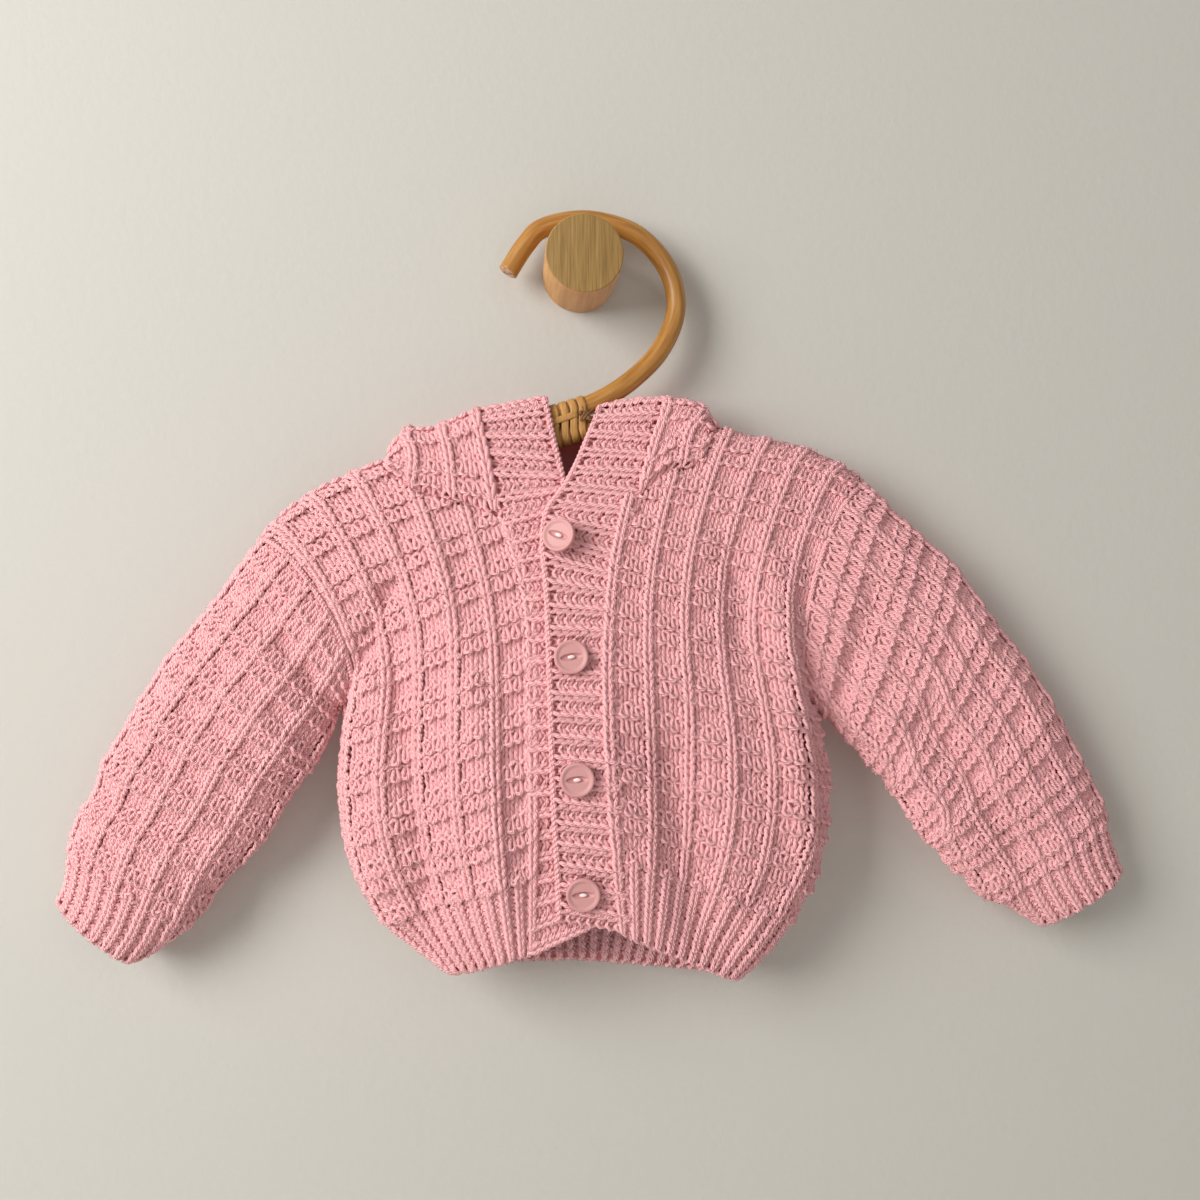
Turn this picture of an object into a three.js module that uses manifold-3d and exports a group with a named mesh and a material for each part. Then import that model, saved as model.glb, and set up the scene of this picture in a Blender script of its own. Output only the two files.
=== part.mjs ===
// Hand-knitted baby cardigan with a fallen-back hood, on a rattan hanger over a round wall peg.
// Millimetres. +Z up, +X to the right as seen from the front, +Y into the wall.
// The origin is the middle of the peg's flat back face, where it meets the wall.
import * as THREE from 'three';
import { mergeVertices } from 'three/addons/utils/BufferGeometryUtils.js';
import Module from 'manifold-3d';

const wasm = await Module();
wasm.setup();
const { Manifold, Mesh } = wasm;

// ---- sizes ----
const CLOTH = 2.4;              // thickness of the knitted cloth
const SEAM = 0.4;               // clear gap left where two knitted pieces are sewn together
const LAP = 1.7;                // each front band stands this far off the level of the fronts
const CANE = 9.3;               // rattan cane diameter
const STRIP = 0.8;              // thickness of the flat cane wrapping
const PEG_RADIUS = 18;
const PEG_LENGTH = 36.5;
const PEG_BEVEL = 0.8;
const BUTTON_RADIUS = 7.6;
const BUTTON_THICK = 2.6;
const CENTRE_X = -4;            // centre line of the garment
const NECK_TOP = -76;           // height at which both shoulder lines meet the centre line
const BACK_HEM = -328;
const SQUARENESS = 2.4;         // how boxy the cross-section of the body is
const SHOULDER_ROUND = 0.035;   // share of the panel height that rolls over the hanger

// share of the panel height, distance of the side seam from the wall, and how far the front
// and the back stand away from it along the centre line
const BODY = [
  [0.00, 26.0, 21.0, 13.0],
  [0.15, 27.3, 23.0, 14.3],
  [0.30, 27.5, 24.0, 14.5],
  [0.45, 26.6, 23.0, 13.6],
  [0.60, 25.0, 20.5, 12.0],
  [0.70, 23.6, 18.2, 10.6],
  [0.80, 22.0, 15.6, 9.0],
  [0.87, 21.2, 13.0, 8.2],
  [0.94, 20.4, 9.6, 7.2],
  [1.00, 20.0, 7.0, 6.8],
];

// side seams from the hem corner to the underarm: x, z
const SIDE_RIGHT = [
  [-61.5, -327.5], [-70.3, -320.8], [-85.3, -307.0], [-97.2, -292.5], [-104.2, -279.0],
  [-107.8, -264.0], [-110.0, -240.0], [-109.0, -228.0], [-107.3, -208.0], [-108.0, -199.5],
];
const SIDE_LEFT = [
  [70.5, -334.5], [90.8, -318.4], [100.3, -302.5], [107.4, -288.6], [112.2, -275.0],
  [115.5, -247.0], [113.6, -228.5], [109.8, -214.0], [109.0, -206.0],
];

// sleeves from the armhole to the cuff: upper edge x, z, distance from the wall, then the
// lower edge x, z, distance from the wall, then half the depth of the tube
const SLEEVE_RIGHT = [
  [-147.7, -131.7, 20.0, -108.0, -199.5, 25.0, 13.0],
  [-166.3, -159.0, 20.0, -113.6, -209.0, 24.0, 14.0],
  [-180.8, -177.0, 19.5, -121.8, -229.2, 23.0, 14.0],
  [-200.7, -206.3, 19.0, -132.4, -242.4, 22.0, 13.8],
  [-210.7, -223.8, 18.5, -142.6, -259.4, 21.0, 13.4],
  [-218.7, -237.7, 18.0, -150.0, -270.0, 20.5, 13.0],
  [-227.0, -255.0, 17.8, -165.0, -284.8, 19.5, 12.5],
  [-231.0, -271.2, 17.5, -179.0, -304.2, 19.0, 12.0],
  [-232.7, -284.9, 17.2, -193.5, -315.2, 18.5, 11.0],
  [-237.0, -296.0, 17.0, -206.0, -322.5, 18.0, 10.0],
];
const SLEEVE_LEFT = [
  [136.8, -104.0, 20.0, 109.0, -206.0, 25.0, 13.0],
  [153.4, -121.6, 20.0, 121.0, -217.6, 24.0, 14.0],
  [178.1, -143.1, 19.5, 139.7, -238.2, 23.0, 14.0],
  [195.8, -168.3, 19.0, 149.8, -249.0, 22.0, 13.8],
  [214.2, -189.7, 18.5, 162.0, -266.7, 21.0, 13.4],
  [232.0, -219.2, 18.0, 169.0, -275.0, 20.5, 13.0],
  [245.0, -242.6, 17.8, 179.0, -285.8, 19.5, 12.5],
  [252.1, -256.7, 17.5, 191.7, -297.4, 19.0, 12.0],
  [257.6, -276.8, 17.2, 210.2, -306.2, 18.5, 11.0],
  [263.8, -291.5, 17.0, 224.3, -315.3, 18.0, 10.0],
];
const BULGE_SPAN = 0.2;         // share of the sleeve over which the armhole's curve fades out
const BACK_BULGE = 0.6;         // the back armhole is cut in less than the front one

// the seam between each front and its band, from the hem up: z, x
const BAND_SEAM_RIGHT = [
  [-317.0, -24.6], [-228.0, -24.8], [-158.0, -25.2], [-140.0, -29.0], [-121.0, -36.4],
  [-98.0, -40.7], [-71.0, -46.0],
];
const BAND_SEAM_LEFT = [
  [-309.0, 18.5], [-283.5, 15.8], [-256.4, 13.6], [-236.0, 12.2], [-212.6, 11.0], [-180.3, 10.4],
  [-158.0, 11.7], [-140.0, 13.8], [-121.5, 18.5], [-110.0, 22.5], [-99.0, 26.5], [-88.0, 29.5],
  [-66.0, 36.0],
];

// front necklines from the band out to the shoulder, and the back neckline: x, z
const NECK_RIGHT = [
  [-36.6, -120.8], [-61.0, -112.6], [-75.0, -110.0], [-82.0, -104.3], [-92.5, -96.0],
];
const NECK_LEFT = [
  [25.3, -110.0], [37.4, -99.5], [50.0, -96.7], [56.5, -90.0], [62.5, -78.0],
];
const NECK_BACK = [
  [-92.5, -96.0], [-80.0, -98.5], [-50.0, -99.5], [-10.0, -99.0], [25.0, -94.5], [50.0, -88.0],
  [62.5, -78.0],
];

// per side: table, hem height and top of the centre line, shoulder bow, armhole curve
const RIGHT = {
  side: SIDE_RIGHT, sleeve: SLEEVE_RIGHT, seam: BAND_SEAM_RIGHT, neck: NECK_RIGHT,
  hem: -309.6, bow: 15, bulge: 12, underarm: 0.614, lap: -LAP, corner: -92.5,
};
const LEFT = {
  side: SIDE_LEFT, sleeve: SLEEVE_LEFT, seam: BAND_SEAM_LEFT, neck: NECK_LEFT,
  hem: -297.0, bow: 12, bulge: 17, underarm: 0.543, lap: LAP, corner: 62.5,
};

// the long ribbed band, from the right front's hem up round the hood and down to the left
// front's hem: outer edge x, z, inner edge x, z, distance from the wall (0 where it lies on
// the fronts and takes its distance from them)
const BAND = [
  [-24.2, -316.0, 0.6, -305.0, 0], [-24.3, -285.0, 0.6, -280.0, 0],
  [-24.4, -240.0, 0.5, -238.0, 0], [-24.6, -200.0, 0.3, -199.0, 0],
  [-24.8, -165.0, 0.0, -163.0, 0], [-28.4, -140.0, -3.5, -134.0, 0],
  [-36.0, -120.6, -8.0, -113.0, 0], [-40.3, -98.0, -10.2, -100.0, 31.2],
  [-43.5, -84.0, -14.0, -84.0, 28.4], [-46.0, -73.5, -17.2, -67.5, 25.6],
  [-46.5, -69.6, -17.6, -64.0, 17.0], [-46.0, -75.0, -19.0, -68.0, 8.0],
  [-45.0, -86.0, -20.0, -77.0, 4.6], [-42.0, -104.0, -19.0, -89.0, 4.3],
  [-33.0, -118.0, -15.0, -97.5, 4.3], [-15.0, -126.0, -9.0, -101.5, 4.3],
  [-2.0, -127.0, -3.0, -102.5, 4.3], [12.0, -122.0, 3.0, -100.0, 4.3],
  [27.0, -110.0, 8.5, -93.0, 4.3], [33.5, -97.0, 11.0, -84.0, 4.3],
  [36.0, -85.0, 11.0, -75.0, 4.6], [36.5, -72.0, 10.0, -68.0, 8.0],
  [36.5, -63.6, 9.0, -64.6, 17.0], [35.5, -68.0, 7.0, -71.0, 26.0],
  [31.5, -84.0, 2.5, -82.0, 29.0], [28.0, -97.0, -3.5, -96.0, 33.2],
  [23.5, -110.0, -9.5, -107.0, 37.0], [19.0, -121.5, -17.0, -117.5, 0],
  [13.8, -141.0, -19.2, -131.0, 0], [11.8, -158.0, -17.6, -155.0, 0],
  [10.4, -181.0, -16.8, -180.0, 0], [11.0, -212.0, -16.0, -210.0, 0],
  [12.2, -236.0, -15.4, -233.0, 0], [13.8, -256.0, -14.6, -253.0, 0],
  [15.8, -283.0, -13.0, -278.0, 0], [18.8, -306.5, -12.2, -300.0, 0],
];

// top of each half of the hood from the band outwards: x, z
const ROLL_RIGHT = [
  [-47.0, -70.0], [-55.0, -73.0], [-63.0, -76.5], [-71.0, -79.0], [-79.5, -79.0],
  [-84.5, -83.0], [-89.5, -90.0],
];
const ROLL_LEFT = [
  [37.0, -63.8], [41.0, -63.5], [45.0, -63.2], [49.0, -63.4], [54.0, -65.0], [59.0, -69.0],
  [62.3, -74.5],
];

// the fallen hood behind the back: height, right side x, left side x, distance of its middle
// from the wall, half the distance between its two layers
const POUCH = [
  [-80.0, -74.0, 52.0, 7.4, 3.1], [-96.0, -82.0, 60.0, 7.4, 3.1],
  [-112.0, -85.0, 63.0, 7.0, 2.8], [-150.0, -83.0, 61.0, 6.8, 2.4],
  [-188.0, -73.0, 50.0, 6.8, 2.3], [-210.0, -58.0, 34.0, 6.8, 2.3],
  [-222.0, -40.0, 16.0, 6.8, 2.2],
];

// cane of the hook, from its cut tip over the peg to the joint: x, z, distance from the wall
const HOOK = [
  [-34.7, -2.9, 13.0], [-26.2, 10.8, 12.5], [-17.6, 18.9, 12.2], [1.9, 23.0, 12.0],
  [21.9, 18.8, 12.5], [34.3, 9.9, 13.0], [42.5, -2.5, 13.5], [45.2, -16.1, 14.5],
  [42.7, -28.8, 15.5], [35.2, -42.2, 17.0], [24.1, -53.4, 18.2], [13.6, -61.0, 19.4],
  [3.2, -66.4, 20.0], [-7.0, -69.8, 20.0], [-25.5, -75.9, 20.0],
];
const BAR = [
  [-117.0, -115.8, 20.2], [-111.0, -111.9, 20.2], [-92.0, -104.0, 20.0], [-80.0, -101.0, 20.0],
  [-62.0, -96.6, 20.0], [-48.0, -93.2, 20.0], [-35.0, -89.4, 20.0], [-24.0, -85.9, 20.0],
  [-10.0, -81.2, 20.0], [2.0, -77.2, 20.0], [13.0, -74.6, 20.0], [27.0, -74.6, 20.0],
  [42.0, -78.4, 20.0], [55.0, -84.0, 20.0], [75.0, -88.6, 20.0], [90.0, -91.3, 20.0],
  [106.0, -96.4, 20.2],
];
const BINDING = [[-23.0, -75.1, -85.5], [2.0, -66.8, -77.2]];  // its ends: x, both canes' heights

// buttons from the top: x, z, turn of the slot in degrees, tilt of the face in degrees
const BUTTONS = [
  [-11.8, -129.3, -24.0, 24.0], [-7.0, -183.2, 8.0, 3.0], [-4.6, -236.5, 4.0, 3.0],
  [-1.8, -287.4, 2.0, 2.0],
];

// ---- small tools ----
const mix = (a, b, t) => a + (b - a) * t;
const clamp = (t) => Math.min(1, Math.max(0, t));

// straight-line reading of a table whose first column is the key
function readTable(table, key, column) {
  const rising = table[table.length - 1][0] > table[0][0];
  const rows = rising ? table : [...table].reverse();
  if (key <= rows[0][0]) return rows[0][column];
  for (let i = 1; i < rows.length; i += 1) {
    if (key <= rows[i][0]) {
      const share = (key - rows[i - 1][0]) / (rows[i][0] - rows[i - 1][0]);
      return mix(rows[i - 1][column], rows[i][column], share);
    }
  }
  return rows[rows.length - 1][column];
}

// smooth reading of a table by row position 0..1 (a Catmull-Rom curve through its rows)
function alongRows(rows, share) {
  const place = clamp(share) * (rows.length - 1);
  const i = Math.min(Math.floor(place), rows.length - 2);
  const t = place - i;
  const at = (k) => rows[Math.min(Math.max(k, 0), rows.length - 1)];
  return rows[0].map((_, c) => {
    const [a, b, d, e] = [at(i - 1)[c], at(i)[c], at(i + 1)[c], at(i + 2)[c]];
    const curve = 2 * b + (d - a) * t + (2 * a - 5 * b + 4 * d - e) * t * t;
    return 0.5 * (curve + (3 * b - a - 3 * d + e) * t * t * t);
  });
}

// the same, by share of the length of the line through points in the first two columns
function alongLength(rows, share) {
  const lengths = [0];
  for (let i = 1; i < rows.length; i += 1) {
    const step = Math.hypot(rows[i][0] - rows[i - 1][0], rows[i][1] - rows[i - 1][1]);
    lengths.push(lengths[i - 1] + step);
  }
  const goal = clamp(share) * lengths[rows.length - 1];
  let i = 1;
  while (i < rows.length - 1 && lengths[i] < goal) i += 1;
  const t = (goal - lengths[i - 1]) / (lengths[i] - lengths[i - 1]);
  return alongRows(rows, (i - 1 + t) / (rows.length - 1));
}

// ---- the garment's surfaces, each the middle of the cloth's thickness ----

// sleeve: angle 0 at the upper edge, half a turn at the underarm, the front in between
function sleevePoint(half, angle, share) {
  const [ox, oz, op, ix, iz, ip, depth] = alongRows(half.sleeve, share);
  const along = new THREE.Vector3(ox - ix, 0, oz - iz).multiplyScalar(0.5);
  const inward = new THREE.Vector3(along.z, 0, -along.x).normalize();
  if (inward.x * half.corner > 0) inward.negate();
  const fade = (1 - clamp(share / BULGE_SPAN)) ** 2;
  const lift = Math.sin(angle);
  const cut = half.bulge * fade * Math.abs(lift) * (lift > 0 ? 1 : BACK_BULGE);
  const turn = Math.cos(angle);
  return new THREE.Vector3(
    (ox + ix) / 2 + along.x * turn + inward.x * cut,
    -((op + ip) / 2 + (op - ip) / 2 * turn) - depth * lift,
    (oz + iz) / 2 + along.z * turn + inward.z * cut,
  );
}

// outer edge of a body panel at height share v: side seam, then armhole
function outerEdge(half, v, front) {
  if (v <= half.underarm) {
    const [x, z] = alongLength(half.side, v / half.underarm);
    return { x, z, wall: readTable(BODY, v, 1), stand: 0 };
  }
  const angle = Math.PI * (1 - (v - half.underarm) / (1 - half.underarm));
  const edge = sleevePoint(half, front ? angle : -angle, 0);
  const level = sleevePoint({ ...half, bulge: 0 }, angle, 0);
  const middle = -level.y - half.sleeve[0][6] * Math.sin(angle);
  return { x: edge.x, z: edge.z, wall: middle, stand: half.sleeve[0][6] * Math.sin(angle) };
}

// a point of the body: u from the centre line to the side, v from the hem to the shoulder line
function bodyPoint(half, u, v, front) {
  const edge = outerEdge(half, v, front);
  const low = front ? half.hem : BACK_HEM;
  const bow = half.bow * clamp((v - 0.45) / 0.55) ** 2 * (1 - (2 * u - 1) ** 4);
  const x = mix(CENTRE_X, edge.x, u);
  const z = mix(mix(low, NECK_TOP, v), edge.z, u) + bow;
  const roll = clamp((v - 1 + SHOULDER_ROUND) / SHOULDER_ROUND);
  const stand = readTable(BODY, v, front ? 2 : 3) * Math.sqrt(1 - roll * roll);
  const shape = stand ** SQUARENESS * (1 - u ** SQUARENESS)
    + edge.stand ** SQUARENESS * u ** SQUARENESS;
  const swell = shape ** (1 / SQUARENESS);
  const middle = mix(readTable(BODY, v, 1), edge.wall, u);
  const gap = SEAM / 2;
  return new THREE.Vector3(x, front ? -middle - gap - swell : -middle + gap + swell, z);
}

// a front panel: w from the band seam to the side
function frontPoint(half, w, v) {
  const edge = outerEdge(half, v, true);
  const height = mix(half.hem, NECK_TOP, v);
  const start = (readTable(half.seam, height, 1) - CENTRE_X) / (edge.x - CENTRE_X);
  const point = bodyPoint(half, mix(start, 1, w), v, true);
  point.y -= half.lap * (1 - w) ** 2;
  return point;
}

// height share at which the neckline cuts a panel
function neckShare(neck, place) {
  const inside = (v) => {
    const p = place(v);
    const end = neck[neck.length - 1][0];
    const start = neck[0][0];
    if ((p.x - start) * (p.x - end) > 0 && Math.abs(p.x) > Math.abs(end) - 30) return true;
    return p.z < readTable(neck, p.x, 1);
  };
  if (inside(1)) return 1;
  let low = 0.6;
  let high = 1;
  for (let i = 0; i < 30; i += 1) {
    const middle = (low + high) / 2;
    if (inside(middle)) low = middle;
    else high = middle;
  }
  return low;
}

// ---- solids from surfaces ----

// thickens a grid of points along its normals; flat(i, j) marks points whose normal is kept
// level with the wall because two pieces close on one another there
function thicken(grid, options = {}) {
  const { loop = false, flat = () => false, thickness = CLOTH } = options;
  const rows = grid.length;
  const columns = grid[0].length;
  const pick = (i, j) => {
    const row = grid[Math.min(Math.max(i, 0), rows - 1)];
    return loop ? row[(j + columns) % columns] : row[Math.min(Math.max(j, 0), columns - 1)];
  };
  const places = [];
  for (const side of [1, -1]) {
    for (let i = 0; i < rows; i += 1) {
      for (let j = 0; j < columns; j += 1) {
        const along = pick(i + 1, j).clone().sub(pick(i - 1, j));
        const across = pick(i, j + 1).clone().sub(pick(i, j - 1));
        const normal = across.cross(along).normalize();
        if (flat(i, j)) {
          normal.y = 0;
          normal.normalize();
        }
        places.push(pick(i, j).clone().addScaledVector(normal, side * thickness / 2));
      }
    }
  }
  const index = (side, i, j) => side * rows * columns + i * columns + (j % columns);
  const faces = [];
  const quad = (a, b, c, d) => {
    faces.push([a, b, c], [a, c, d]);
  };
  const spans = loop ? columns : columns - 1;
  for (let i = 0; i < rows - 1; i += 1) {
    for (let j = 0; j < spans; j += 1) {
      quad(index(0, i, j), index(0, i, j + 1), index(0, i + 1, j + 1), index(0, i + 1, j));
      quad(index(1, i, j), index(1, i + 1, j), index(1, i + 1, j + 1), index(1, i, j + 1));
    }
  }
  for (let j = 0; j < spans; j += 1) {
    quad(index(0, 0, j), index(1, 0, j), index(1, 0, j + 1), index(0, 0, j + 1));
    const last = rows - 1;
    quad(index(0, last, j), index(0, last, j + 1), index(1, last, j + 1), index(1, last, j));
  }
  if (!loop) {
    for (let i = 0; i < rows - 1; i += 1) {
      quad(index(0, i, 0), index(0, i + 1, 0), index(1, i + 1, 0), index(1, i, 0));
      const end = columns - 1;
      quad(index(0, i, end), index(1, i, end), index(1, i + 1, end), index(0, i + 1, end));
    }
  }
  return facesOut(places, faces);
}

// turns a closed shell so that its faces look outward
function facesOut(places, faces) {
  let volume = 0;
  const cross = new THREE.Vector3();
  for (const [a, b, c] of faces) {
    volume += places[a].dot(cross.crossVectors(places[b], places[c])) / 6;
  }
  const turned = volume < 0 ? faces.map(([a, b, c]) => [a, c, b]) : faces;
  return { places, faces: turned };
}

// the closed shell of a three.js geometry, its doubled corners made one
function shellOf(source) {
  const bare = source.clone();
  bare.deleteAttribute('normal');
  bare.deleteAttribute('uv');
  const merged = mergeVertices(bare, 0.001);
  const position = merged.getAttribute('position');
  const places = [];
  for (let i = 0; i < position.count; i += 1) {
    places.push(new THREE.Vector3().fromBufferAttribute(position, i));
  }
  const corners = merged.getIndex().array;
  const faces = [];
  for (let i = 0; i < corners.length; i += 3) {
    const face = [corners[i], corners[i + 1], corners[i + 2]];
    if (new Set(face).size === 3) faces.push(face);
  }
  return facesOut(places, faces);
}

function toManifold(shell) {
  const vertProperties = new Float32Array(shell.places.flatMap((p) => [p.x, p.y, p.z]));
  const triVerts = new Uint32Array(shell.faces.flat());
  return new Manifold(new Mesh({ numProp: 3, vertProperties, triVerts }));
}

function toGeometry(source) {
  let places;
  let faces;
  if (source.places) {
    places = source.places.flatMap((p) => [p.x, p.y, p.z]);
    faces = source.faces.flat();
  } else {
    const mesh = source.getMesh();
    places = Array.from(mesh.vertProperties);
    faces = Array.from(mesh.triVerts);
  }
  const geometry = new THREE.BufferGeometry();
  geometry.setAttribute('position', new THREE.Float32BufferAttribute(places, 3));
  geometry.setIndex(faces);
  geometry.computeVertexNormals();
  return geometry;
}

const group = new THREE.Group();
group.name = 'baby_cardigan_on_hanger';

function add(name, source, colour, roughness) {
  const material = new THREE.MeshStandardMaterial({ color: colour, roughness, metalness: 0 });
  const mesh = new THREE.Mesh(toGeometry(source), material);
  mesh.name = name;
  group.add(mesh);
}

// cuts from a piece the room that its neighbours need, and keeps its largest body
function clearOf(piece, neighbours) {
  let left = piece;
  for (const neighbour of neighbours) left = left.subtract(neighbour);
  return left.decompose().sort((a, b) => b.volume() - a.volume())[0];
}

// a piece with a thin coat of room on every side
function coated(piece) {
  const moved = [piece];
  for (const step of [-SEAM, SEAM]) {
    moved.push(piece.translate([step, 0, 0]), piece.translate([0, step, 0]));
    moved.push(piece.translate([0, 0, step]));
  }
  return Manifold.union(moved);
}

const YARN = 0xf0b4ba;
const steps = (count) => Array.from({ length: count + 1 }, (_, i) => i / count);

// ---- hanger and peg ----
const CANE_SIDES = 16;
function cane(rows, radius, count) {
  const points = steps(count).map((t) => {
    const [x, z, wall] = alongRows(rows, t);
    return new THREE.Vector3(x, -wall, z);
  });
  const rings = points.map((p, i) => {
    const ahead = points[Math.min(i + 1, count)].clone();
    const way = ahead.sub(points[Math.max(i - 1, 0)]).normalize();
    const side = new THREE.Vector3(0, 1, 0).addScaledVector(way, -way.y).normalize();
    const up = way.clone().cross(side);
    return steps(CANE_SIDES).slice(0, CANE_SIDES).map((t) => {
      const angle = t * 2 * Math.PI;
      const out = side.clone().multiplyScalar(Math.cos(angle)).addScaledVector(up,
        Math.sin(angle));
      return p.clone().addScaledVector(out, radius);
    });
  });
  return loft(rings);
}

// closed solid through rings of equal point counts, with flat ends
function loft(rings) {
  const sides = rings[0].length;
  const places = rings.flat();
  const faces = [];
  for (let i = 0; i < rings.length - 1; i += 1) {
    for (let j = 0; j < sides; j += 1) {
      const next = (j + 1) % sides;
      const a = i * sides + j;
      const b = i * sides + next;
      faces.push([a, b, b + sides], [a, b + sides, a + sides]);
    }
  }
  const close = (start, turned) => {
    const middle = new THREE.Vector3();
    for (let j = 0; j < sides; j += 1) middle.addScaledVector(places[start + j], 1 / sides);
    places.push(middle);
    for (let j = 0; j < sides; j += 1) {
      const face = [places.length - 1, start + (j + 1) % sides, start + j];
      faces.push(turned ? face.reverse() : face);
    }
  };
  close(0, false);
  close((rings.length - 1) * sides, true);
  return facesOut(places, faces);
}
const HOOK_STEPS = 44;
const BAR_STEPS = 34;
const hook = cane(HOOK, CANE / 2, HOOK_STEPS);
const bar = cane(BAR, CANE / 2, BAR_STEPS);
const caneRoom = [
  toManifold(cane(HOOK, CANE / 2 + SEAM / 2, HOOK_STEPS)),
  toManifold(cane(BAR, CANE / 2 + SEAM / 2, BAR_STEPS)),
];
add('hanger_hook', hook, 0xc08a4a, 0.5);
add('hanger_bar', bar, 0xc08a4a, 0.5);

// the wrapping round both canes: a half circle over the upper one, another under the lower one
const BINDING_SIDES = 10;
function bindingBlock(extra) {
  const radius = CANE / 2 + STRIP + extra;
  const [first, last] = BINDING;
  const way = new THREE.Vector3(last[0] - first[0], 0, last[1] - first[1]).normalize();
  const rings = BINDING.map(([x, top, low]) => [top, low].flatMap((z, half) => (
    steps(BINDING_SIDES).map((t) => {
      const angle = (half + t) * Math.PI;
      return new THREE.Vector3(
        x - way.z * Math.sin(angle) * radius,
        -BAR[0][2] + Math.cos(angle) * radius,
        z + way.x * Math.sin(angle) * radius,
      );
    }))));
  return toManifold(loft(rings));
}
add('hanger_binding', clearOf(bindingBlock(0), caneRoom), 0xc7a873, 0.7);
const hangerRoom = [...caneRoom, bindingBlock(SEAM / 2)];

const PEG_OUTLINE = [
  [0, 0], [PEG_RADIUS, 0], [PEG_RADIUS, PEG_LENGTH - PEG_BEVEL],
  [PEG_RADIUS - PEG_BEVEL, PEG_LENGTH], [0, PEG_LENGTH],
];
const turned = (outline, sides) => (
  new THREE.LatheGeometry(outline.map(([x, y]) => new THREE.Vector2(x, y)), sides));
const peg = shellOf(turned(PEG_OUTLINE, 64).rotateX(Math.PI));
add('wall_peg', peg, 0xb89a68, 0.6);

const ROOM = { thickness: CLOTH + 2 * SEAM };

// ---- sleeves ----
const SLEEVE_RINGS = 12;
const SLEEVE_SIDES = 22;
const SLEEVE_START = 0.008;
function sleeveGrid(half, start) {
  return steps(SLEEVE_RINGS).map((share) => {
    const ring = [];
    for (let k = 0; k < SLEEVE_SIDES; k += 1) {
      ring.push(sleevePoint(half, (k / SLEEVE_SIDES) * 2 * Math.PI, mix(start, 1, share)));
    }
    return ring;
  });
}
const sleeves = [RIGHT, LEFT].map((half) => (
  thicken(sleeveGrid(half, SLEEVE_START), { loop: true })));
const sleeveRoom = [RIGHT, LEFT].map((half) => (
  toManifold(thicken(sleeveGrid(half, SLEEVE_START / 2), { loop: true, ...ROOM }))));
add('right_sleeve', sleeves[0], YARN, 0.9);
add('left_sleeve', sleeves[1], YARN, 0.9);

// ---- fronts ----
const FRONT_ROWS = 18;
const FRONT_COLUMNS = 9;
const FRONT_START = 0.012;
function frontGrid(half) {
  return steps(FRONT_ROWS).map((t) => steps(FRONT_COLUMNS).map((w) => {
    const inset = mix(FRONT_START, 1, w);
    const top = neckShare(half.neck, (v) => frontPoint(half, inset, v));
    return frontPoint(half, inset, t * top);
  }));
}
function frontPanel(half, room) {
  const grid = frontGrid(half);
  const closes = (i, j) => (j === FRONT_COLUMNS && i / FRONT_ROWS <= half.underarm + 0.02)
    || (i === FRONT_ROWS && grid[i][j].distanceTo(
      frontPoint(half, mix(FRONT_START, 1, j / FRONT_COLUMNS), 1)) < 0.01);
  return clearOf(toManifold(thicken(grid, { flat: closes })), [room, ...hangerRoom]);
}
const fronts = [frontPanel(RIGHT, sleeveRoom[0]), frontPanel(LEFT, sleeveRoom[1])];
add('right_front', fronts[0], YARN, 0.9);
add('left_front', fronts[1], YARN, 0.9);

// ---- back ----
const BACK_ROWS = 18;
const BACK_HALF = 8;
const backGrid = steps(BACK_ROWS).map((t) => {
  const row = [];
  for (let k = -BACK_HALF; k <= BACK_HALF; k += 1) {
    const half = k < 0 ? RIGHT : LEFT;
    const u = Math.abs(k) / BACK_HALF;
    const top = neckShare(NECK_BACK, (v) => bodyPoint(half, u, v, false));
    row.push(bodyPoint(half, u, t * top, false));
  }
  return row;
});
const backCloses = (i, j) => {
  const half = j < BACK_HALF ? RIGHT : LEFT;
  const edge = j === 0 || j === 2 * BACK_HALF;
  const u = Math.abs(j - BACK_HALF) / BACK_HALF;
  return (edge && i / BACK_ROWS <= half.underarm + 0.02)
    || (i === BACK_ROWS && backGrid[i][j].distanceTo(bodyPoint(half, u, 1, false)) < 0.01);
};
const back = clearOf(toManifold(thicken(backGrid, { flat: backCloses })),
  [...sleeveRoom, ...hangerRoom, ...fronts.map(coated)]);
add('back', back, YARN, 0.9);

// ---- band ----
const BAND_ROWS = 62;
const BAND_COLUMNS = 3;
function frontDistance(z, lap) {
  const v = clamp((z - (RIGHT.hem + LEFT.hem) / 2) / (NECK_TOP - (RIGHT.hem + LEFT.hem) / 2));
  return -bodyPoint(RIGHT, 0, v, true).y + lap;
}
const bandRows = BAND.map(([ox, oz, ix, iz, wall], k) => {
  const lap = k < BAND.length / 2 ? -LAP : LAP;
  return [ox, oz, ix, iz, wall || frontDistance(oz, lap), wall || frontDistance(iz, lap)];
});
const bandGrid = steps(BAND_ROWS).map((t) => {
  const [ox, oz, ix, iz, op, ip] = alongRows(bandRows, t);
  return steps(BAND_COLUMNS).map((w) => (
    new THREE.Vector3(mix(ox, ix, w), -mix(op, ip, w), mix(oz, iz, w))));
});

// ---- band and hood solids ----
const frontBand = clearOf(toManifold(thicken(bandGrid)),
  [...hangerRoom, ...fronts.map(coated), coated(back)]);
add('front_band', frontBand, YARN, 0.9);

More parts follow.
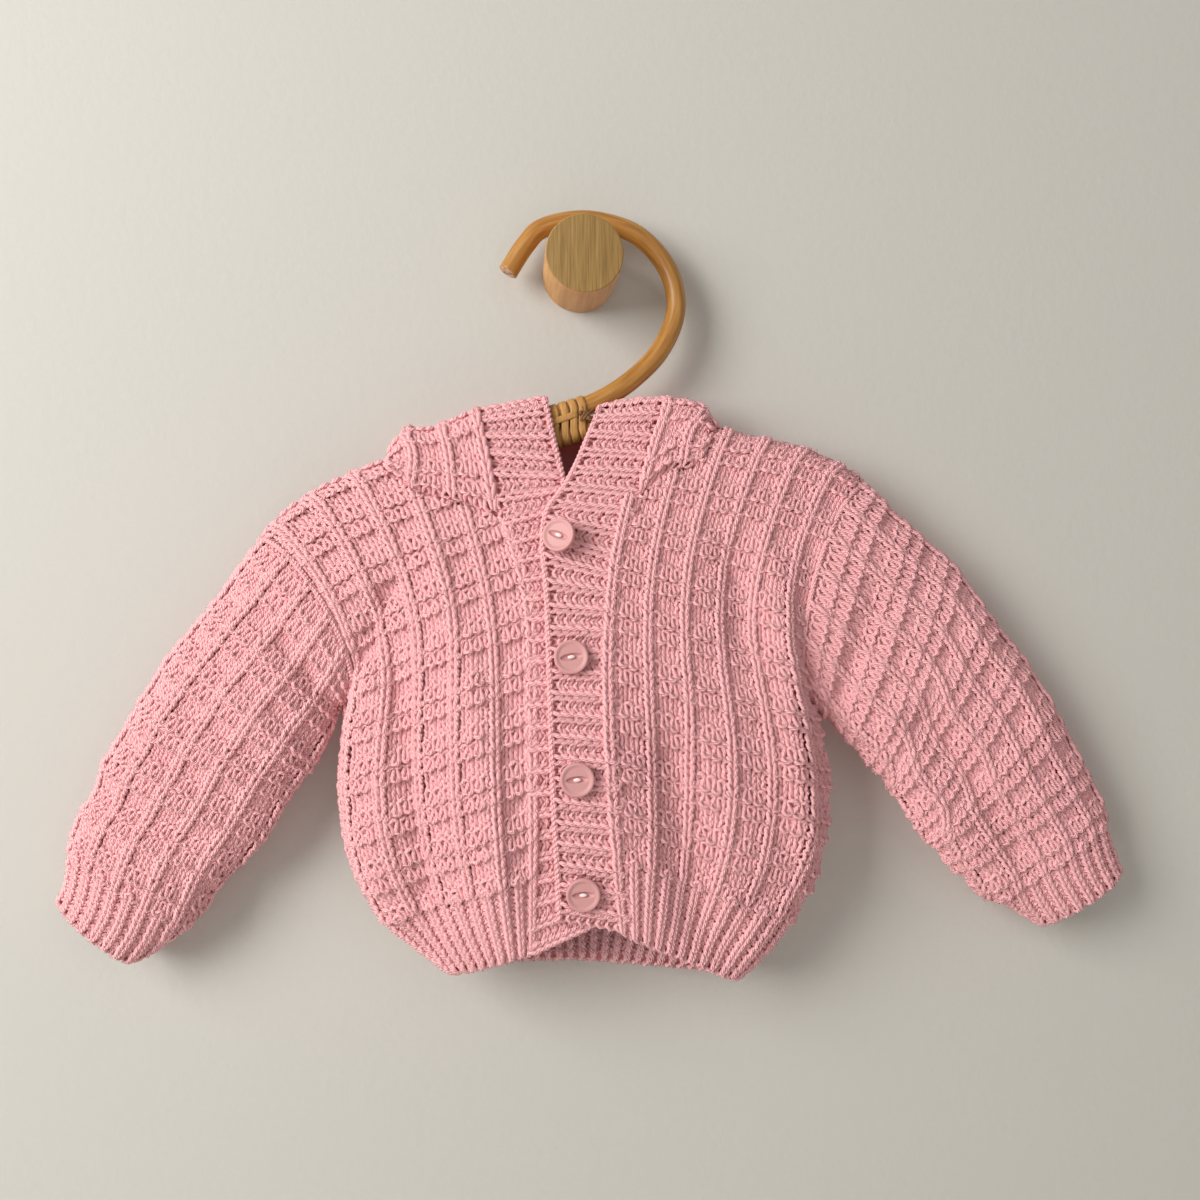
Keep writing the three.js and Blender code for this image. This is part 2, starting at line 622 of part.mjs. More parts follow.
const FLAP_COLUMNS = 5;
const FLAP_ROWS = 10;
function flap(half, roll) {
  // share of the front's width at which its neckline meets the shoulder line
  let corner = 0;
  while (Math.abs(frontPoint(half, corner, 1).x) < Math.abs(half.corner)) corner += 0.005;
  const grid = steps(FLAP_COLUMNS).map((k) => {
    const w = mix(FRONT_START, corner - 0.004, k);
    const top = neckShare(half.neck, (v) => frontPoint(half, w, v));
    const seam = frontPoint(half, w, top);
    const below = frontPoint(half, w, top - 0.02);
    seam.add(seam.clone().sub(below).normalize().multiplyScalar(SEAM));
    const [x, z] = alongRows(roll, k);
    const lean = Math.max(mix(-seam.y, 26.6, 0.6), 27.6);
    const rows = [
      [seam.x, seam.z, -seam.y],
      [mix(seam.x, x, 0.5), mix(seam.z, z, 0.5), mix(-seam.y, lean, 0.8 * (1 - k ** 6))],
      [x, z - 4.5, mix(26.4, 22.0, k ** 6)],
      [x, z, 17.0],
      [x, z - 5.5, 8.0],
      [x, z - 14, 4.7],
      [x, Math.min(z - 20, -98), 4.3],
    ];
    return steps(FLAP_ROWS).map((t) => {
      const [px, pz, wall] = alongRows(rows, t);
      return new THREE.Vector3(px, -wall, pz);
    });
  });
  return toManifold(thicken(grid));
}

const POUCH_SIDES = 28;
const POUCH_ROWS = 9;
function pouchLoft(grow, rise) {
  const rows = steps(POUCH_ROWS).map((t) => alongRows(POUCH, t));
  return toManifold(loft(rows.map(([z, low, high, wall, half], i) => {
    const across = (high - low) / 2 + grow;
    return steps(POUCH_SIDES).slice(0, POUCH_SIDES).map((t) => {
      const angle = t * 2 * Math.PI;
      const round = (value) => Math.sign(value) * Math.abs(value) ** 0.7;
      return new THREE.Vector3(
        (high + low) / 2 + Math.cos(angle) * across,
        -wall - round(Math.sin(angle)) * (half + grow),
        i === 0 ? z + rise : Math.max(z, -222) - (i === POUCH_ROWS ? grow : 0),
      );
    });
  })));
}
// room above the back neckline, where the hood's inner layer stops
const ABOVE_RISE = 1.5;
const above = new THREE.Shape([
  ...NECK_BACK.map(([x, z]) => new THREE.Vector2(x, z + ABOVE_RISE)),
  new THREE.Vector2(LEFT.corner, -40),
  new THREE.Vector2(RIGHT.corner, -40),
]);
const opening = toManifold(shellOf(
  new THREE.ExtrudeGeometry(above, { depth: 10, bevelEnabled: false })
    .rotateX(Math.PI / 2).translate(0, -POUCH[0][3], 0)));
const pouch = pouchLoft(CLOTH / 2, 0).subtract(pouchLoft(-CLOTH / 2, 5)).subtract(opening);
const hood = clearOf(
  Manifold.union([pouch, flap(RIGHT, ROLL_RIGHT), flap(LEFT, ROLL_LEFT)]),
  [coated(frontBand), coated(back), ...fronts.map(coated), ...hangerRoom],
);
add('hood', hood, YARN, 0.9);

// ---- buttons ----
const BUTTON_OUTLINE = [
  [0, 0], [BUTTON_RADIUS - 0.6, 0], [BUTTON_RADIUS, 0.7], [BUTTON_RADIUS, 1.9],
  [BUTTON_RADIUS - 0.5, BUTTON_THICK], [BUTTON_RADIUS - 1.2, BUTTON_THICK],
  [BUTTON_RADIUS - 2.2, BUTTON_THICK - 0.4], [0, BUTTON_THICK - 0.6],
];
const SLOT = [12.0, 2.9, 1.5];  // length, width and depth of the eye-shaped hollow
const HOLE_RADIUS = 0.7;
const HOLE_PLACE = 2.0;
BUTTONS.forEach(([x, z, turn, tilt], k) => {
  const eye = new THREE.SphereGeometry(0.5, 20, 10).rotateX(Math.PI / 2)
    .scale(...SLOT).translate(0, 0, BUTTON_THICK - 0.5);
  let button = toManifold(shellOf(turned(BUTTON_OUTLINE, 36).rotateX(Math.PI / 2)))
    .subtract(toManifold(shellOf(eye)));
  for (const side of [-1, 1]) {
    const hole = new THREE.CylinderGeometry(HOLE_RADIUS, HOLE_RADIUS, BUTTON_THICK * 3, 8)
      .rotateX(Math.PI / 2).translate(side * HOLE_PLACE, 0, 0);
    button = button.subtract(toManifold(shellOf(hole)));
  }
  const lift = CLOTH / 2 + 0.4 + Math.sin(tilt * Math.PI / 180) * BUTTON_RADIUS;
  const wall = frontDistance(z, LAP) + lift;
  const slope = (frontDistance(z + BUTTON_RADIUS, 0) - frontDistance(z - BUTTON_RADIUS, 0))
    / (2 * BUTTON_RADIUS);
  const pitch = Math.atan(slope) * 180 / Math.PI;
  button = button.rotate([0, 0, turn]).rotate([90, 0, 0]).rotate([0, 0, -tilt])
    .rotate([pitch, 0, 0]).translate([x, -wall, z]);
  add(`button_${k + 1}`, button, 0xe6a7ae, 0.35);
});

export default group;
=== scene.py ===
"""Looks of the hand-knitted baby cardigan, its rattan hanger and the round wall peg.

The garment's surfaces are the same ones that the solids were made from, in millimetres, and are
turned into metres when a mesh is made. +Z is up, the garment faces -Y, the wall is at y = 0.

Cloth: every panel is a surface of two shares, across and up. It is sampled on a grid that is even
by length, and everything on the cloth (the yarn, and the thin sheet under it whose dark pink is
painted shade for the gaps between stitches) reads that grid.

Yarn: a row of stitches is one strand. Along a stitch, t runs once round a circle. Across, the
strand goes forward evenly and swings by sin 2t, which gives the narrow neck and the wide head of a
loop. Up, it follows -cos t, a little less than a row each way, so that rows interlock. Out of the
cloth, the legs (sin squared t) stand in front and the arcs, the squares of (1 +- cos t) / 2, lie
behind on a knit stitch, and the other way round on a purl stitch.

Creases: a short table for each panel says where a ridge or a trough starts and ends.
"""
import math

import bmesh
import bpy
import numpy as np
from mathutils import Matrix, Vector


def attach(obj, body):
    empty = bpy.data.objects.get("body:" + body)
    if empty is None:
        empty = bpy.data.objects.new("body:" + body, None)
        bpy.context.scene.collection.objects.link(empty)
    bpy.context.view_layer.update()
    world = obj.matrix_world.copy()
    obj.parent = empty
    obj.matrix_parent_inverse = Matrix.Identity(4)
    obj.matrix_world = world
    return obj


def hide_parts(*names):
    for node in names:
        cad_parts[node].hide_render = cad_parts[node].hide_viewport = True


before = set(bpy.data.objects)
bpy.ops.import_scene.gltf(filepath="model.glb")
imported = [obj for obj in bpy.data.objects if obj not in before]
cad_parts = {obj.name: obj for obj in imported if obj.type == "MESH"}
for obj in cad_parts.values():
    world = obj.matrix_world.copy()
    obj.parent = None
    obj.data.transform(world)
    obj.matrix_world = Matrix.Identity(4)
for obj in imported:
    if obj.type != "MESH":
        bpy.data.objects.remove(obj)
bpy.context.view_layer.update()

MM = 0.001
PI = math.pi
FORWARD = np.array([0.0, -1.0, 0.0])
rng = np.random.default_rng(7)

# ---- sizes, in millimetres ----
CENTRE_X = -4.0          # centre line of the garment
NECK_TOP = -76.0         # height at which both shoulder lines meet the centre line
BACK_HEM = -328.0
SQUARENESS = 2.4         # how boxy the cross-section of the body is
SHOULDER_ROUND = 0.035   # share of the panel height that rolls over the hanger
SEAM = 0.4               # gap where two knitted pieces are sewn together
LAP = 1.7                # each front band stands this far off the level of the fronts
BULGE_SPAN = 0.2         # share of the sleeve over which the armhole's curve fades out
BACK_BULGE = 0.6         # the back armhole is cut in less than the front one
FRONT_START = 0.012
CANE = 9.3
STRIP = 0.8
PEG_RADIUS, PEG_LENGTH, PEG_BEVEL = 18.0, 36.5, 0.8
BUTTON_RADIUS = 7.6
CLOTH = 2.4

STITCH_WIDTH = 4.1
ROW_HEIGHT = 3.75
YARN = 1.18              # radius of the yarn
LOOP_SWING = 0.28        # sideways swing of a leg, in stitches
LOOP_REACH = 0.88        # how far a loop reaches up and down from its row, in rows
LOOP_DEPTH = 0.85        # how far the yarn leaves the middle of the cloth
LOOP_STEPS = 8           # points along one stitch
REPEAT_WIDE, REPEAT_HIGH = 4, 6   # the pattern: a rope column and three stitches, six rows
PURL_ROWS = (1, 3)       # rows of the repeat that are purl between the rope columns
HEM_ROWS, CUFF_ROWS, BAND_ROWS = 9, 7, 7
BAND_STITCH = 4.75
ROPE_HIGH, PURL_HIGH, PLAIN_HIGH, RIB_HIGH = 1.5, 1.3, -0.85, 0.8  # stand of whole stitches
UNEVEN = np.array([0.04, 0.05, 0.06, 0.16])   # scatter of a loop's swing, reach, rise and depth
BEHIND = dict(sides=3, radius=1.27)           # plumper, simpler yarn where it faces the wall
SMOOTHING = 250          # times that a body panel's grid is smoothed
ROLLED_TOP = 0.06        # share of a panel's height that smoothing leaves alone
WALL_Y, FLOOR_Z = 0.0004, -1.2    # in metres

# share of the height, side seam's distance from the wall, stand of the front and of the back
BODY = np.array([
    [0.00, 26.0, 21.0, 13.0], [0.15, 27.3, 23.0, 14.3], [0.30, 27.5, 24.0, 14.5],
    [0.45, 26.6, 23.0, 13.6], [0.60, 25.0, 20.5, 12.0], [0.70, 23.6, 18.2, 10.6],
    [0.80, 22.0, 15.6, 9.0], [0.87, 21.2, 13.0, 8.2], [0.94, 20.4, 9.6, 7.2],
    [1.00, 20.0, 7.0, 6.8],
])

# side seams from the hem corner to the underarm: x, z
SIDE_RIGHT = np.array([
    [-61.5, -327.5], [-70.3, -320.8], [-85.3, -307.0], [-97.2, -292.5], [-104.2, -279.0],
    [-107.8, -264.0], [-110.0, -240.0], [-109.0, -228.0], [-107.3, -208.0], [-108.0, -199.5],
])
SIDE_LEFT = np.array([
    [70.5, -334.5], [90.8, -318.4], [100.3, -302.5], [107.4, -288.6], [112.2, -275.0],
    [115.5, -247.0], [113.6, -228.5], [109.8, -214.0], [109.0, -206.0],
])

# sleeves from armhole to cuff: upper edge x, z, distance from the wall, then the same for the
# lower edge, then half the depth of the tube
SLEEVE_RIGHT = np.array([
    [-147.7, -131.7, 20.0, -108.0, -199.5, 25.0, 13.0],
    [-166.3, -159.0, 20.0, -113.6, -209.0, 24.0, 14.0],
    [-180.8, -177.0, 19.5, -121.8, -229.2, 23.0, 14.0],
    [-200.7, -206.3, 19.0, -132.4, -242.4, 22.0, 13.8],
    [-210.7, -223.8, 18.5, -142.6, -259.4, 21.0, 13.4],
    [-218.7, -237.7, 18.0, -150.0, -270.0, 20.5, 13.0],
    [-227.0, -255.0, 17.8, -165.0, -284.8, 19.5, 12.5],
    [-231.0, -271.2, 17.5, -179.0, -304.2, 19.0, 12.0],
    [-232.7, -284.9, 17.2, -193.5, -315.2, 18.5, 11.0],
    [-237.0, -296.0, 17.0, -206.0, -322.5, 18.0, 10.0],
])
SLEEVE_LEFT = np.array([
    [136.8, -104.0, 20.0, 109.0, -206.0, 25.0, 13.0],
    [153.4, -121.6, 20.0, 121.0, -217.6, 24.0, 14.0],
    [178.1, -143.1, 19.5, 139.7, -238.2, 23.0, 14.0],
    [195.8, -168.3, 19.0, 149.8, -249.0, 22.0, 13.8],
    [214.2, -189.7, 18.5, 162.0, -266.7, 21.0, 13.4],
    [232.0, -219.2, 18.0, 169.0, -275.0, 20.5, 13.0],
    [245.0, -242.6, 17.8, 179.0, -285.8, 19.5, 12.5],
    [252.1, -256.7, 17.5, 191.7, -297.4, 19.0, 12.0],
    [257.6, -276.8, 17.2, 210.2, -306.2, 18.5, 11.0],
    [263.8, -291.5, 17.0, 224.3, -315.3, 18.0, 10.0],
])

# the seam between each front and its band, from the hem up: z, x
BAND_SEAM_RIGHT = np.array([
    [-317.0, -24.6], [-228.0, -24.8], [-158.0, -25.2], [-140.0, -29.0], [-121.0, -36.4],
    [-98.0, -40.7], [-71.0, -46.0],
])
BAND_SEAM_LEFT = np.array([
    [-309.0, 18.5], [-283.5, 15.8], [-256.4, 13.6], [-236.0, 12.2], [-212.6, 11.0],
    [-180.3, 10.4], [-158.0, 11.7], [-140.0, 13.8], [-121.5, 18.5], [-110.0, 22.5],
    [-99.0, 26.5], [-88.0, 29.5], [-66.0, 36.0],
])

# front necklines from the band out to the shoulder, and the back neckline: x, z
NECK_RIGHT = np.array([
    [-36.6, -120.8], [-61.0, -112.6], [-75.0, -110.0], [-82.0, -104.3], [-92.5, -96.0],
])
NECK_LEFT = np.array([
    [25.3, -110.0], [37.4, -99.5], [50.0, -96.7], [56.5, -90.0], [62.5, -78.0],
])
NECK_BACK = np.array([
    [-92.5, -96.0], [-80.0, -98.5], [-50.0, -99.5], [-10.0, -99.0], [25.0, -94.5],
    [50.0, -88.0], [62.5, -78.0],
])

RIGHT = dict(
    side=SIDE_RIGHT, sleeve=SLEEVE_RIGHT, seam=BAND_SEAM_RIGHT, neck=NECK_RIGHT,
    hem=-309.6, bow=15.0, bulge=12.0, underarm=0.614, lap=-LAP, corner=-92.5,
)
LEFT = dict(
    side=SIDE_LEFT, sleeve=SLEEVE_LEFT, seam=BAND_SEAM_LEFT, neck=NECK_LEFT,
    hem=-297.0, bow=12.0, bulge=17.0, underarm=0.543, lap=LAP, corner=62.5,
)

# the ribbed band: outer edge x, z, inner edge x, z, distance from the wall (0: on the fronts)
BAND = np.array([
    [-24.2, -316.0, 0.6, -305.0, 0], [-24.3, -285.0, 0.6, -280.0, 0],
    [-24.4, -240.0, 0.5, -238.0, 0], [-24.6, -200.0, 0.3, -199.0, 0],
    [-24.8, -165.0, 0.0, -163.0, 0], [-28.4, -140.0, -3.5, -134.0, 0],
    [-36.0, -120.6, -8.0, -113.0, 0], [-40.3, -98.0, -10.2, -100.0, 31.2],
    [-43.5, -84.0, -14.0, -84.0, 28.4], [-46.0, -73.5, -17.2, -67.5, 25.6],
    [-46.5, -69.6, -17.6, -64.0, 17.0], [-46.0, -75.0, -19.0, -68.0, 8.0],
    [-45.0, -86.0, -20.0, -77.0, 4.6], [-42.0, -104.0, -19.0, -89.0, 4.3],
    [-33.0, -118.0, -15.0, -97.5, 4.3], [-15.0, -126.0, -9.0, -101.5, 4.3],
    [-2.0, -127.0, -3.0, -102.5, 4.3], [12.0, -122.0, 3.0, -100.0, 4.3],
    [27.0, -110.0, 8.5, -93.0, 4.3], [33.5, -97.0, 11.0, -84.0, 4.3],
    [36.0, -85.0, 11.0, -75.0, 4.6], [36.5, -72.0, 10.0, -68.0, 8.0],
    [36.5, -63.6, 9.0, -64.6, 17.0], [35.5, -68.0, 7.0, -71.0, 26.0],
    [31.5, -84.0, 2.5, -82.0, 29.0], [28.0, -97.0, -3.5, -96.0, 33.2],
    [23.5, -110.0, -9.5, -107.0, 37.0], [19.0, -121.5, -17.0, -117.5, 0],
    [13.8, -141.0, -19.2, -131.0, 0], [11.8, -158.0, -17.6, -155.0, 0],
    [10.4, -181.0, -16.8, -180.0, 0], [11.0, -212.0, -16.0, -210.0, 0],
    [12.2, -236.0, -15.4, -233.0, 0], [13.8, -256.0, -14.6, -253.0, 0],
    [15.8, -283.0, -13.0, -278.0, 0], [18.8, -306.5, -12.2, -300.0, 0],
])

# top of each half of the hood from the band outwards: x, z
ROLL_RIGHT = np.array([
    [-47.0, -70.0], [-55.0, -73.0], [-63.0, -76.5], [-71.0, -79.0], [-79.5, -79.0],
    [-84.5, -83.0], [-89.5, -90.0],
])
ROLL_LEFT = np.array([
    [37.0, -63.8], [41.0, -63.5], [45.0, -63.2], [49.0, -63.4], [54.0, -65.0], [59.0, -69.0],
    [62.3, -74.5],
])

# the fallen hood behind the back: height, right side x, left side x, distance of its middle from
# the wall, half the distance between its two layers
POUCH = np.array([
    [-80.0, -74.0, 52.0, 7.4, 3.1], [-96.0, -82.0, 60.0, 7.4, 3.1],
    [-112.0, -85.0, 63.0, 7.0, 2.8], [-150.0, -83.0, 61.0, 6.8, 2.4],
    [-188.0, -73.0, 50.0, 6.8, 2.3], [-210.0, -58.0, 34.0, 6.8, 2.3],
    [-222.0, -40.0, 16.0, 6.8, 2.2],
])

# canes: x, z, distance from the wall
HOOK = np.array([
    [-34.7, -2.9, 13.0], [-26.2, 10.8, 12.5], [-17.6, 18.9, 12.2], [1.9, 23.0, 12.0],
    [21.9, 18.8, 12.5], [34.3, 9.9, 13.0], [42.5, -2.5, 13.5], [45.2, -16.1, 14.5],
    [42.7, -28.8, 15.5], [35.2, -42.2, 17.0], [24.1, -53.4, 18.2], [13.6, -61.0, 19.4],
    [3.2, -66.4, 20.0], [-7.0, -69.8, 20.0], [-25.5, -75.9, 20.0],
])
BAR = np.array([
    [-117.0, -115.8, 20.2], [-111.0, -111.9, 20.2], [-92.0, -104.0, 20.0],
    [-80.0, -101.0, 20.0], [-62.0, -96.6, 20.0], [-48.0, -93.2, 20.0], [-35.0, -89.4, 20.0],
    [-24.0, -85.9, 20.0], [-10.0, -81.2, 20.0], [2.0, -77.2, 20.0], [13.0, -74.6, 20.0],
    [27.0, -74.6, 20.0], [42.0, -78.4, 20.0], [55.0, -84.0, 20.0], [75.0, -88.6, 20.0],
    [90.0, -91.3, 20.0], [106.0, -96.4, 20.2],
])
BINDING = np.array([[-23.0, -75.1, -85.5], [2.0, -66.8, -77.2]])  # ends: x, both canes' heights

# buttons from the top: x, z, turn of the slot, tilt of the face, in degrees
BUTTONS = [
    [-11.8, -129.3, -24.0, 24.0], [-7.0, -183.2, 8.0, 3.0], [-4.6, -236.5, 4.0, 3.0],
    [-1.8, -287.4, 2.0, 2.0],
]


# ---- reading tables ----
def mix(a, b, t):
    return a + (b - a) * t


def unit(vectors):
    return vectors / np.maximum(np.linalg.norm(vectors, axis=-1, keepdims=True), 1e-9)


def read(table, key, column):
    """Straight-line reading of a table whose first column is the key."""
    order = np.argsort(table[:, 0])
    return np.interp(key, table[order, 0], table[order, column])


def along_rows(rows, share):
    """Smooth reading of a table by row position 0..1, a Catmull-Rom curve through its rows."""
    share = np.asarray(share, float)
    place = np.clip(share, 0, 1) * (len(rows) - 1)
    i = np.minimum(place.astype(int), len(rows) - 2)
    t = (place - i)[..., None]
    a, b, d, e = (rows[np.clip(i + k, 0, len(rows) - 1)] for k in (-1, 0, 1, 2))
    curve = 2 * b + (d - a) * t + (2 * a - 5 * b + 4 * d - e) * t**2
    return 0.5 * (curve + (3 * b - a - 3 * d + e) * t**3)


def along_length(rows, share):
    """The same, by share of the length of the line through the first two columns."""
    steps = np.hypot(*np.diff(rows[:, :2], axis=0).T)
    lengths = np.concatenate([[0], np.cumsum(steps)])
    index = np.interp(np.clip(share, 0, 1) * lengths[-1], lengths, np.arange(len(rows)))
    return along_rows(rows, index / (len(rows) - 1))


# ---- the garment's surfaces ----
def sleeve_point(half, angle, share):
    """A sleeve: angle 0 at the upper edge, half a turn at the underarm, the front between."""
    ox, oz, op, ix, iz, ip, depth = np.moveaxis(along_rows(half["sleeve"], share), -1, 0)
    along_x, along_z = (ox - ix) / 2, (oz - iz) / 2
    size = np.hypot(along_x, along_z)
    side = -np.sign(along_z * half["corner"])
    in_x, in_z = side * along_z / size, -side * along_x / size
    lift, turn = np.sin(angle), np.cos(angle)
    fade = (1 - np.clip(share / BULGE_SPAN, 0, 1)) ** 2
    cut = half["bulge"] * fade * np.abs(lift) * np.where(lift > 0, 1, BACK_BULGE)
    x = (ox + ix) / 2 + along_x * turn + in_x * cut
    y = -((op + ip) / 2 + (op - ip) / 2 * turn) - depth * lift
    z = (oz + iz) / 2 + along_z * turn + in_z * cut
    return np.stack(np.broadcast_arrays(x, y, z), -1)


def outer_edge(half, v, front):
    """x, z, distance from the wall and stand of a body panel's outer edge."""
    under = half["underarm"]
    side = along_length(half["side"], v / under)
    angle = PI * (1 - np.clip((v - under) / (1 - under), 0, 1))
    arm = sleeve_point(half, angle if front else -angle, np.zeros_like(angle))
    _, _, outer, _, _, inner, depth = half["sleeve"][0]
    middle = (outer + inner) / 2 + (outer - inner) / 2 * np.cos(angle)
    low = v <= under
    return (
        np.where(low, side[..., 0], arm[..., 0]), np.where(low, side[..., 1], arm[..., 2]),
        np.where(low, read(BODY, v, 1), middle), np.where(low, 0, depth * np.sin(angle)),
    )


def body_point(half, u, v, front):
    """The body: u from the centre line to the side, v from the hem to the shoulder line."""
    ex, ez, wall, edge_stand = outer_edge(half, v, front)
    low = half["hem"] if front else BACK_HEM
    bow = half["bow"] * np.clip((v - 0.45) / 0.55, 0, 1) ** 2 * (1 - (2 * u - 1) ** 4)
    x = mix(CENTRE_X, ex, u)
    z = mix(mix(low, NECK_TOP, v), ez, u) + bow
    roll = np.clip((v - 1 + SHOULDER_ROUND) / SHOULDER_ROUND, 0, 1)
    stand = read(BODY, v, 2 if front else 3) * np.sqrt(1 - roll**2)
    shape = stand**SQUARENESS * (1 - u**SQUARENESS) + (edge_stand * u) ** SQUARENESS
    swell = np.maximum(shape, 0) ** (1 / SQUARENESS)
    middle = mix(read(BODY, v, 1), wall, u)
    y = -middle - SEAM / 2 - swell if front else -middle + SEAM / 2 + swell
    return np.stack(np.broadcast_arrays(x, y, z), -1)


def front_point(half, w, v):
    """A front: w from the band's seam to the side."""
    ex = outer_edge(half, v, True)[0]
    seam_x = read(half["seam"], mix(half["hem"], NECK_TOP, v), 1)
    start = (seam_x - CENTRE_X) / (ex - CENTRE_X)
    point = body_point(half, mix(start, 1, w), v, True)
    point[..., 1] -= half["lap"] * (1 - w) ** 2
    return point


def back_point(a, v):
    """The back: a runs from the right side seam over the centre line to the left one."""
    u = np.abs(2 * a - 1)
    right, left = body_point(RIGHT, u, v, False), body_point(LEFT, u, v, False)
    return np.where((a < 0.5)[..., None], right, left)


def below_neck(neck, points):
    """True for points that lie below a neckline, or out beyond its shoulder corners."""
    x, z = points[..., 0], points[..., 2]
    ends = np.sort(neck[[0, -1], 0])
    beyond = np.where(x < CENTRE_X, x < ends[0], x > ends[1])
    return (z < read(neck, x, 1)) | beyond


def neck_share(half, w):
    """Height share at which the neckline cuts a front."""
    low, high = np.full_like(w, 0.6), np.ones_like(w)
    ends = np.sort(half["neck"][[0, -1], 0])
    for _ in range(24):
        middle = (low + high) / 2
        point = front_point(half, w, middle)
        outside = (point[..., 0] < ends[0]) & (half["corner"] < 0)
        outside |= (point[..., 0] > ends[1]) & (half["corner"] > 0)
        inside = (point[..., 2] < read(half["neck"], point[..., 0], 1)) | outside
        low, high = np.where(inside, middle, low), np.where(inside, high, middle)
    return low


def front_distance(z, lap):
    """Distance from the wall of the fronts' centre line at a height."""
    hem = (RIGHT["hem"] + LEFT["hem"]) / 2
    v = np.clip((np.asarray(z, float) - hem) / (NECK_TOP - hem), 0, 1)
    return -body_point(RIGHT, np.zeros_like(v), v, True)[..., 1] + lap


def band_point(t, w):
    """The long band: t along it, w from its seam to its free edge."""
    lap = np.where(np.arange(len(BAND)) < len(BAND) / 2, -LAP, LAP)
    walls = [
        np.where(BAND[:, 4] > 0, BAND[:, 4], front_distance(BAND[:, k], lap)) for k in (1, 3)
    ]
    rows = np.column_stack([BAND[:, :4], *walls])
    ox, oz, ix, iz, op, ip = np.moveaxis(along_rows(rows, t), -1, 0)
    return np.stack([mix(ox, ix, w), -mix(op, ip, w), mix(oz, iz, w)], -1)


def flap_point(half, roll, k, t):
    """The hood beside the neck: k from the band outwards, t from the neck seam over the top."""
    far = float(np.interp(abs(half["corner"]), *shoulder_line(half)))
    w = mix(FRONT_START, far - 0.004, k)
    top = neck_share(half, w)
    seam = front_point(half, w, top)
    seam += unit(seam - front_point(half, w, top - 0.02)) * SEAM
    x, z = along_rows(roll, k)[..., 0], along_rows(roll, k)[..., 1]
    wall = -seam[..., 1]
    lean = np.maximum(mix(wall, 26.6, 0.6), 27.6)
    end = k**6
    rows = [
        (seam[..., 0], seam[..., 2], wall),
        (mix(seam[..., 0], x, 0.5), mix(seam[..., 2], z, 0.5), mix(wall, lean, 0.8 * (1 - end))),
        (x, z - 4.5, mix(26.4, 22.0, end)),
        (x, z, 17.0 + 0 * k),
        (x, z - 5.5, 8.0 + 0 * k),
        (x, z - 14, 4.7 + 0 * k),
        (x, np.minimum(z - 20, -98), 4.3 + 0 * k),
    ]
    table = np.stack([np.stack(row, -1) for row in rows])
    place = along_rows(table.reshape(len(rows), -1), t[:, 0]).reshape(len(t), k.shape[-1], 3)
    return place[..., [0, 2, 1]] * np.array([1, -1, 1])


def shoulder_line(half):
    """Distance out from the middle along the top of a front, and the width share there."""
    w = np.linspace(0, 1, 200)
    return np.abs(front_point(half, w, np.ones_like(w))[..., 0]), w


def pouch_point(a, b):
    """The fallen hood: a once round it from its left side, behind first, b from the top down."""
    z, low, high, wall, half = np.moveaxis(along_rows(POUCH, b), -1, 0)
    angle = -a * 2 * PI
    lift = np.sign(np.sin(angle)) * np.abs(np.sin(angle)) ** 0.7
    x = (low + high) / 2 + np.cos(angle) * (high - low) / 2
    return np.stack(np.broadcast_arrays(x, -wall - lift * half, np.maximum(z, -222)), -1)


# ---- creases: start x, z, end x, z, half the width, height (below nought for a trough) ----
CREASES_RIGHT_FRONT = [
    [-87, -176, -68, -300, 9, -5.1], [-53, -178, -37, -304, 9, 3.6],
    [-112, -206, -84, -146, 6, -3.3], [-98, -262, -84, -312, 6, 2.4],
    [-70, -122, -62, -176, 7, 1.8],
]
CREASES_LEFT_FRONT = [
    [36, -216, 54, -318, 14, -5.7], [88, -154, 101, -286, 8, 4.8],
    [107, -142, 113, -194, 6, -3.6], [66, -128, 72, -182, 9, -2.4],
    [80, -286, 62, -322, 7, -2.1],
]
CREASES_RIGHT_SLEEVE = [
    [-114, -208, -142, -160, 7, -3.6], [-128, -232, -160, -196, 8, 2.3],
    [-226, -244, -172, -268, 8, -3.4], [-178, -184, -196, -236, 9, 1.8],
    [-150, -262, -196, -222, 7, -2.0],
]
CREASES_LEFT_SLEEVE = [
    [116, -210, 138, -156, 7, -3.6], [156, -206, 214, -284, 10, -3.9],
    [146, -236, 204, -298, 6, 2.1], [178, -160, 226, -226, 9, 2.3],
    [128, -222, 168, -196, 6, 1.6],
]
CREASES_BACK = [
    [-62, -236, -50, -306, 11, 2.2], [20, -232, 34, -312, 13, -3.0],
    [84, -190, 96, -296, 9, 2.0], [-92, -182, -84, -270, 9, -2.2],
    [110, -206, 84, -150, 7, -1.8], [-108, -204, -84, -148, 7, -1.8],
]


def crease_height(points, creases):
    """How far the creases lift points: a bell across each one, fading towards both its ends."""
    x, z = points[..., 0], points[..., 2]
    lift = np.zeros(x.shape)
    for x1, z1, x2, z2, half_width, height in creases:
        length = math.hypot(x2 - x1, z2 - z1)
        along = ((x - x1) * (x2 - x1) + (z - z1) * (z2 - z1)) / length
        across = ((x - x1) * (z2 - z1) - (z - z1) * (x2 - x1)) / length
        beyond = np.maximum(0, np.abs(along - length / 2) - 0.3 * length)
        lift += height * np.exp(-(across / half_width) ** 2 - (beyond / (0.25 * length)) ** 2)
    return lift


# ---- panels: a surface on an even grid ----
def whole_turn(count):
    return np.linspace(0, 2 * PI, count + 1)[:-1]


def running_length(lines):
    """Length run up to each point of lines, whose last two axes are points and x, y, z."""
    steps = np.linalg.norm(np.diff(lines, axis=-2), axis=-1)
    return np.concatenate([np.zeros((*steps.shape[:-1], 1)), np.cumsum(steps, axis=-1)], -1)


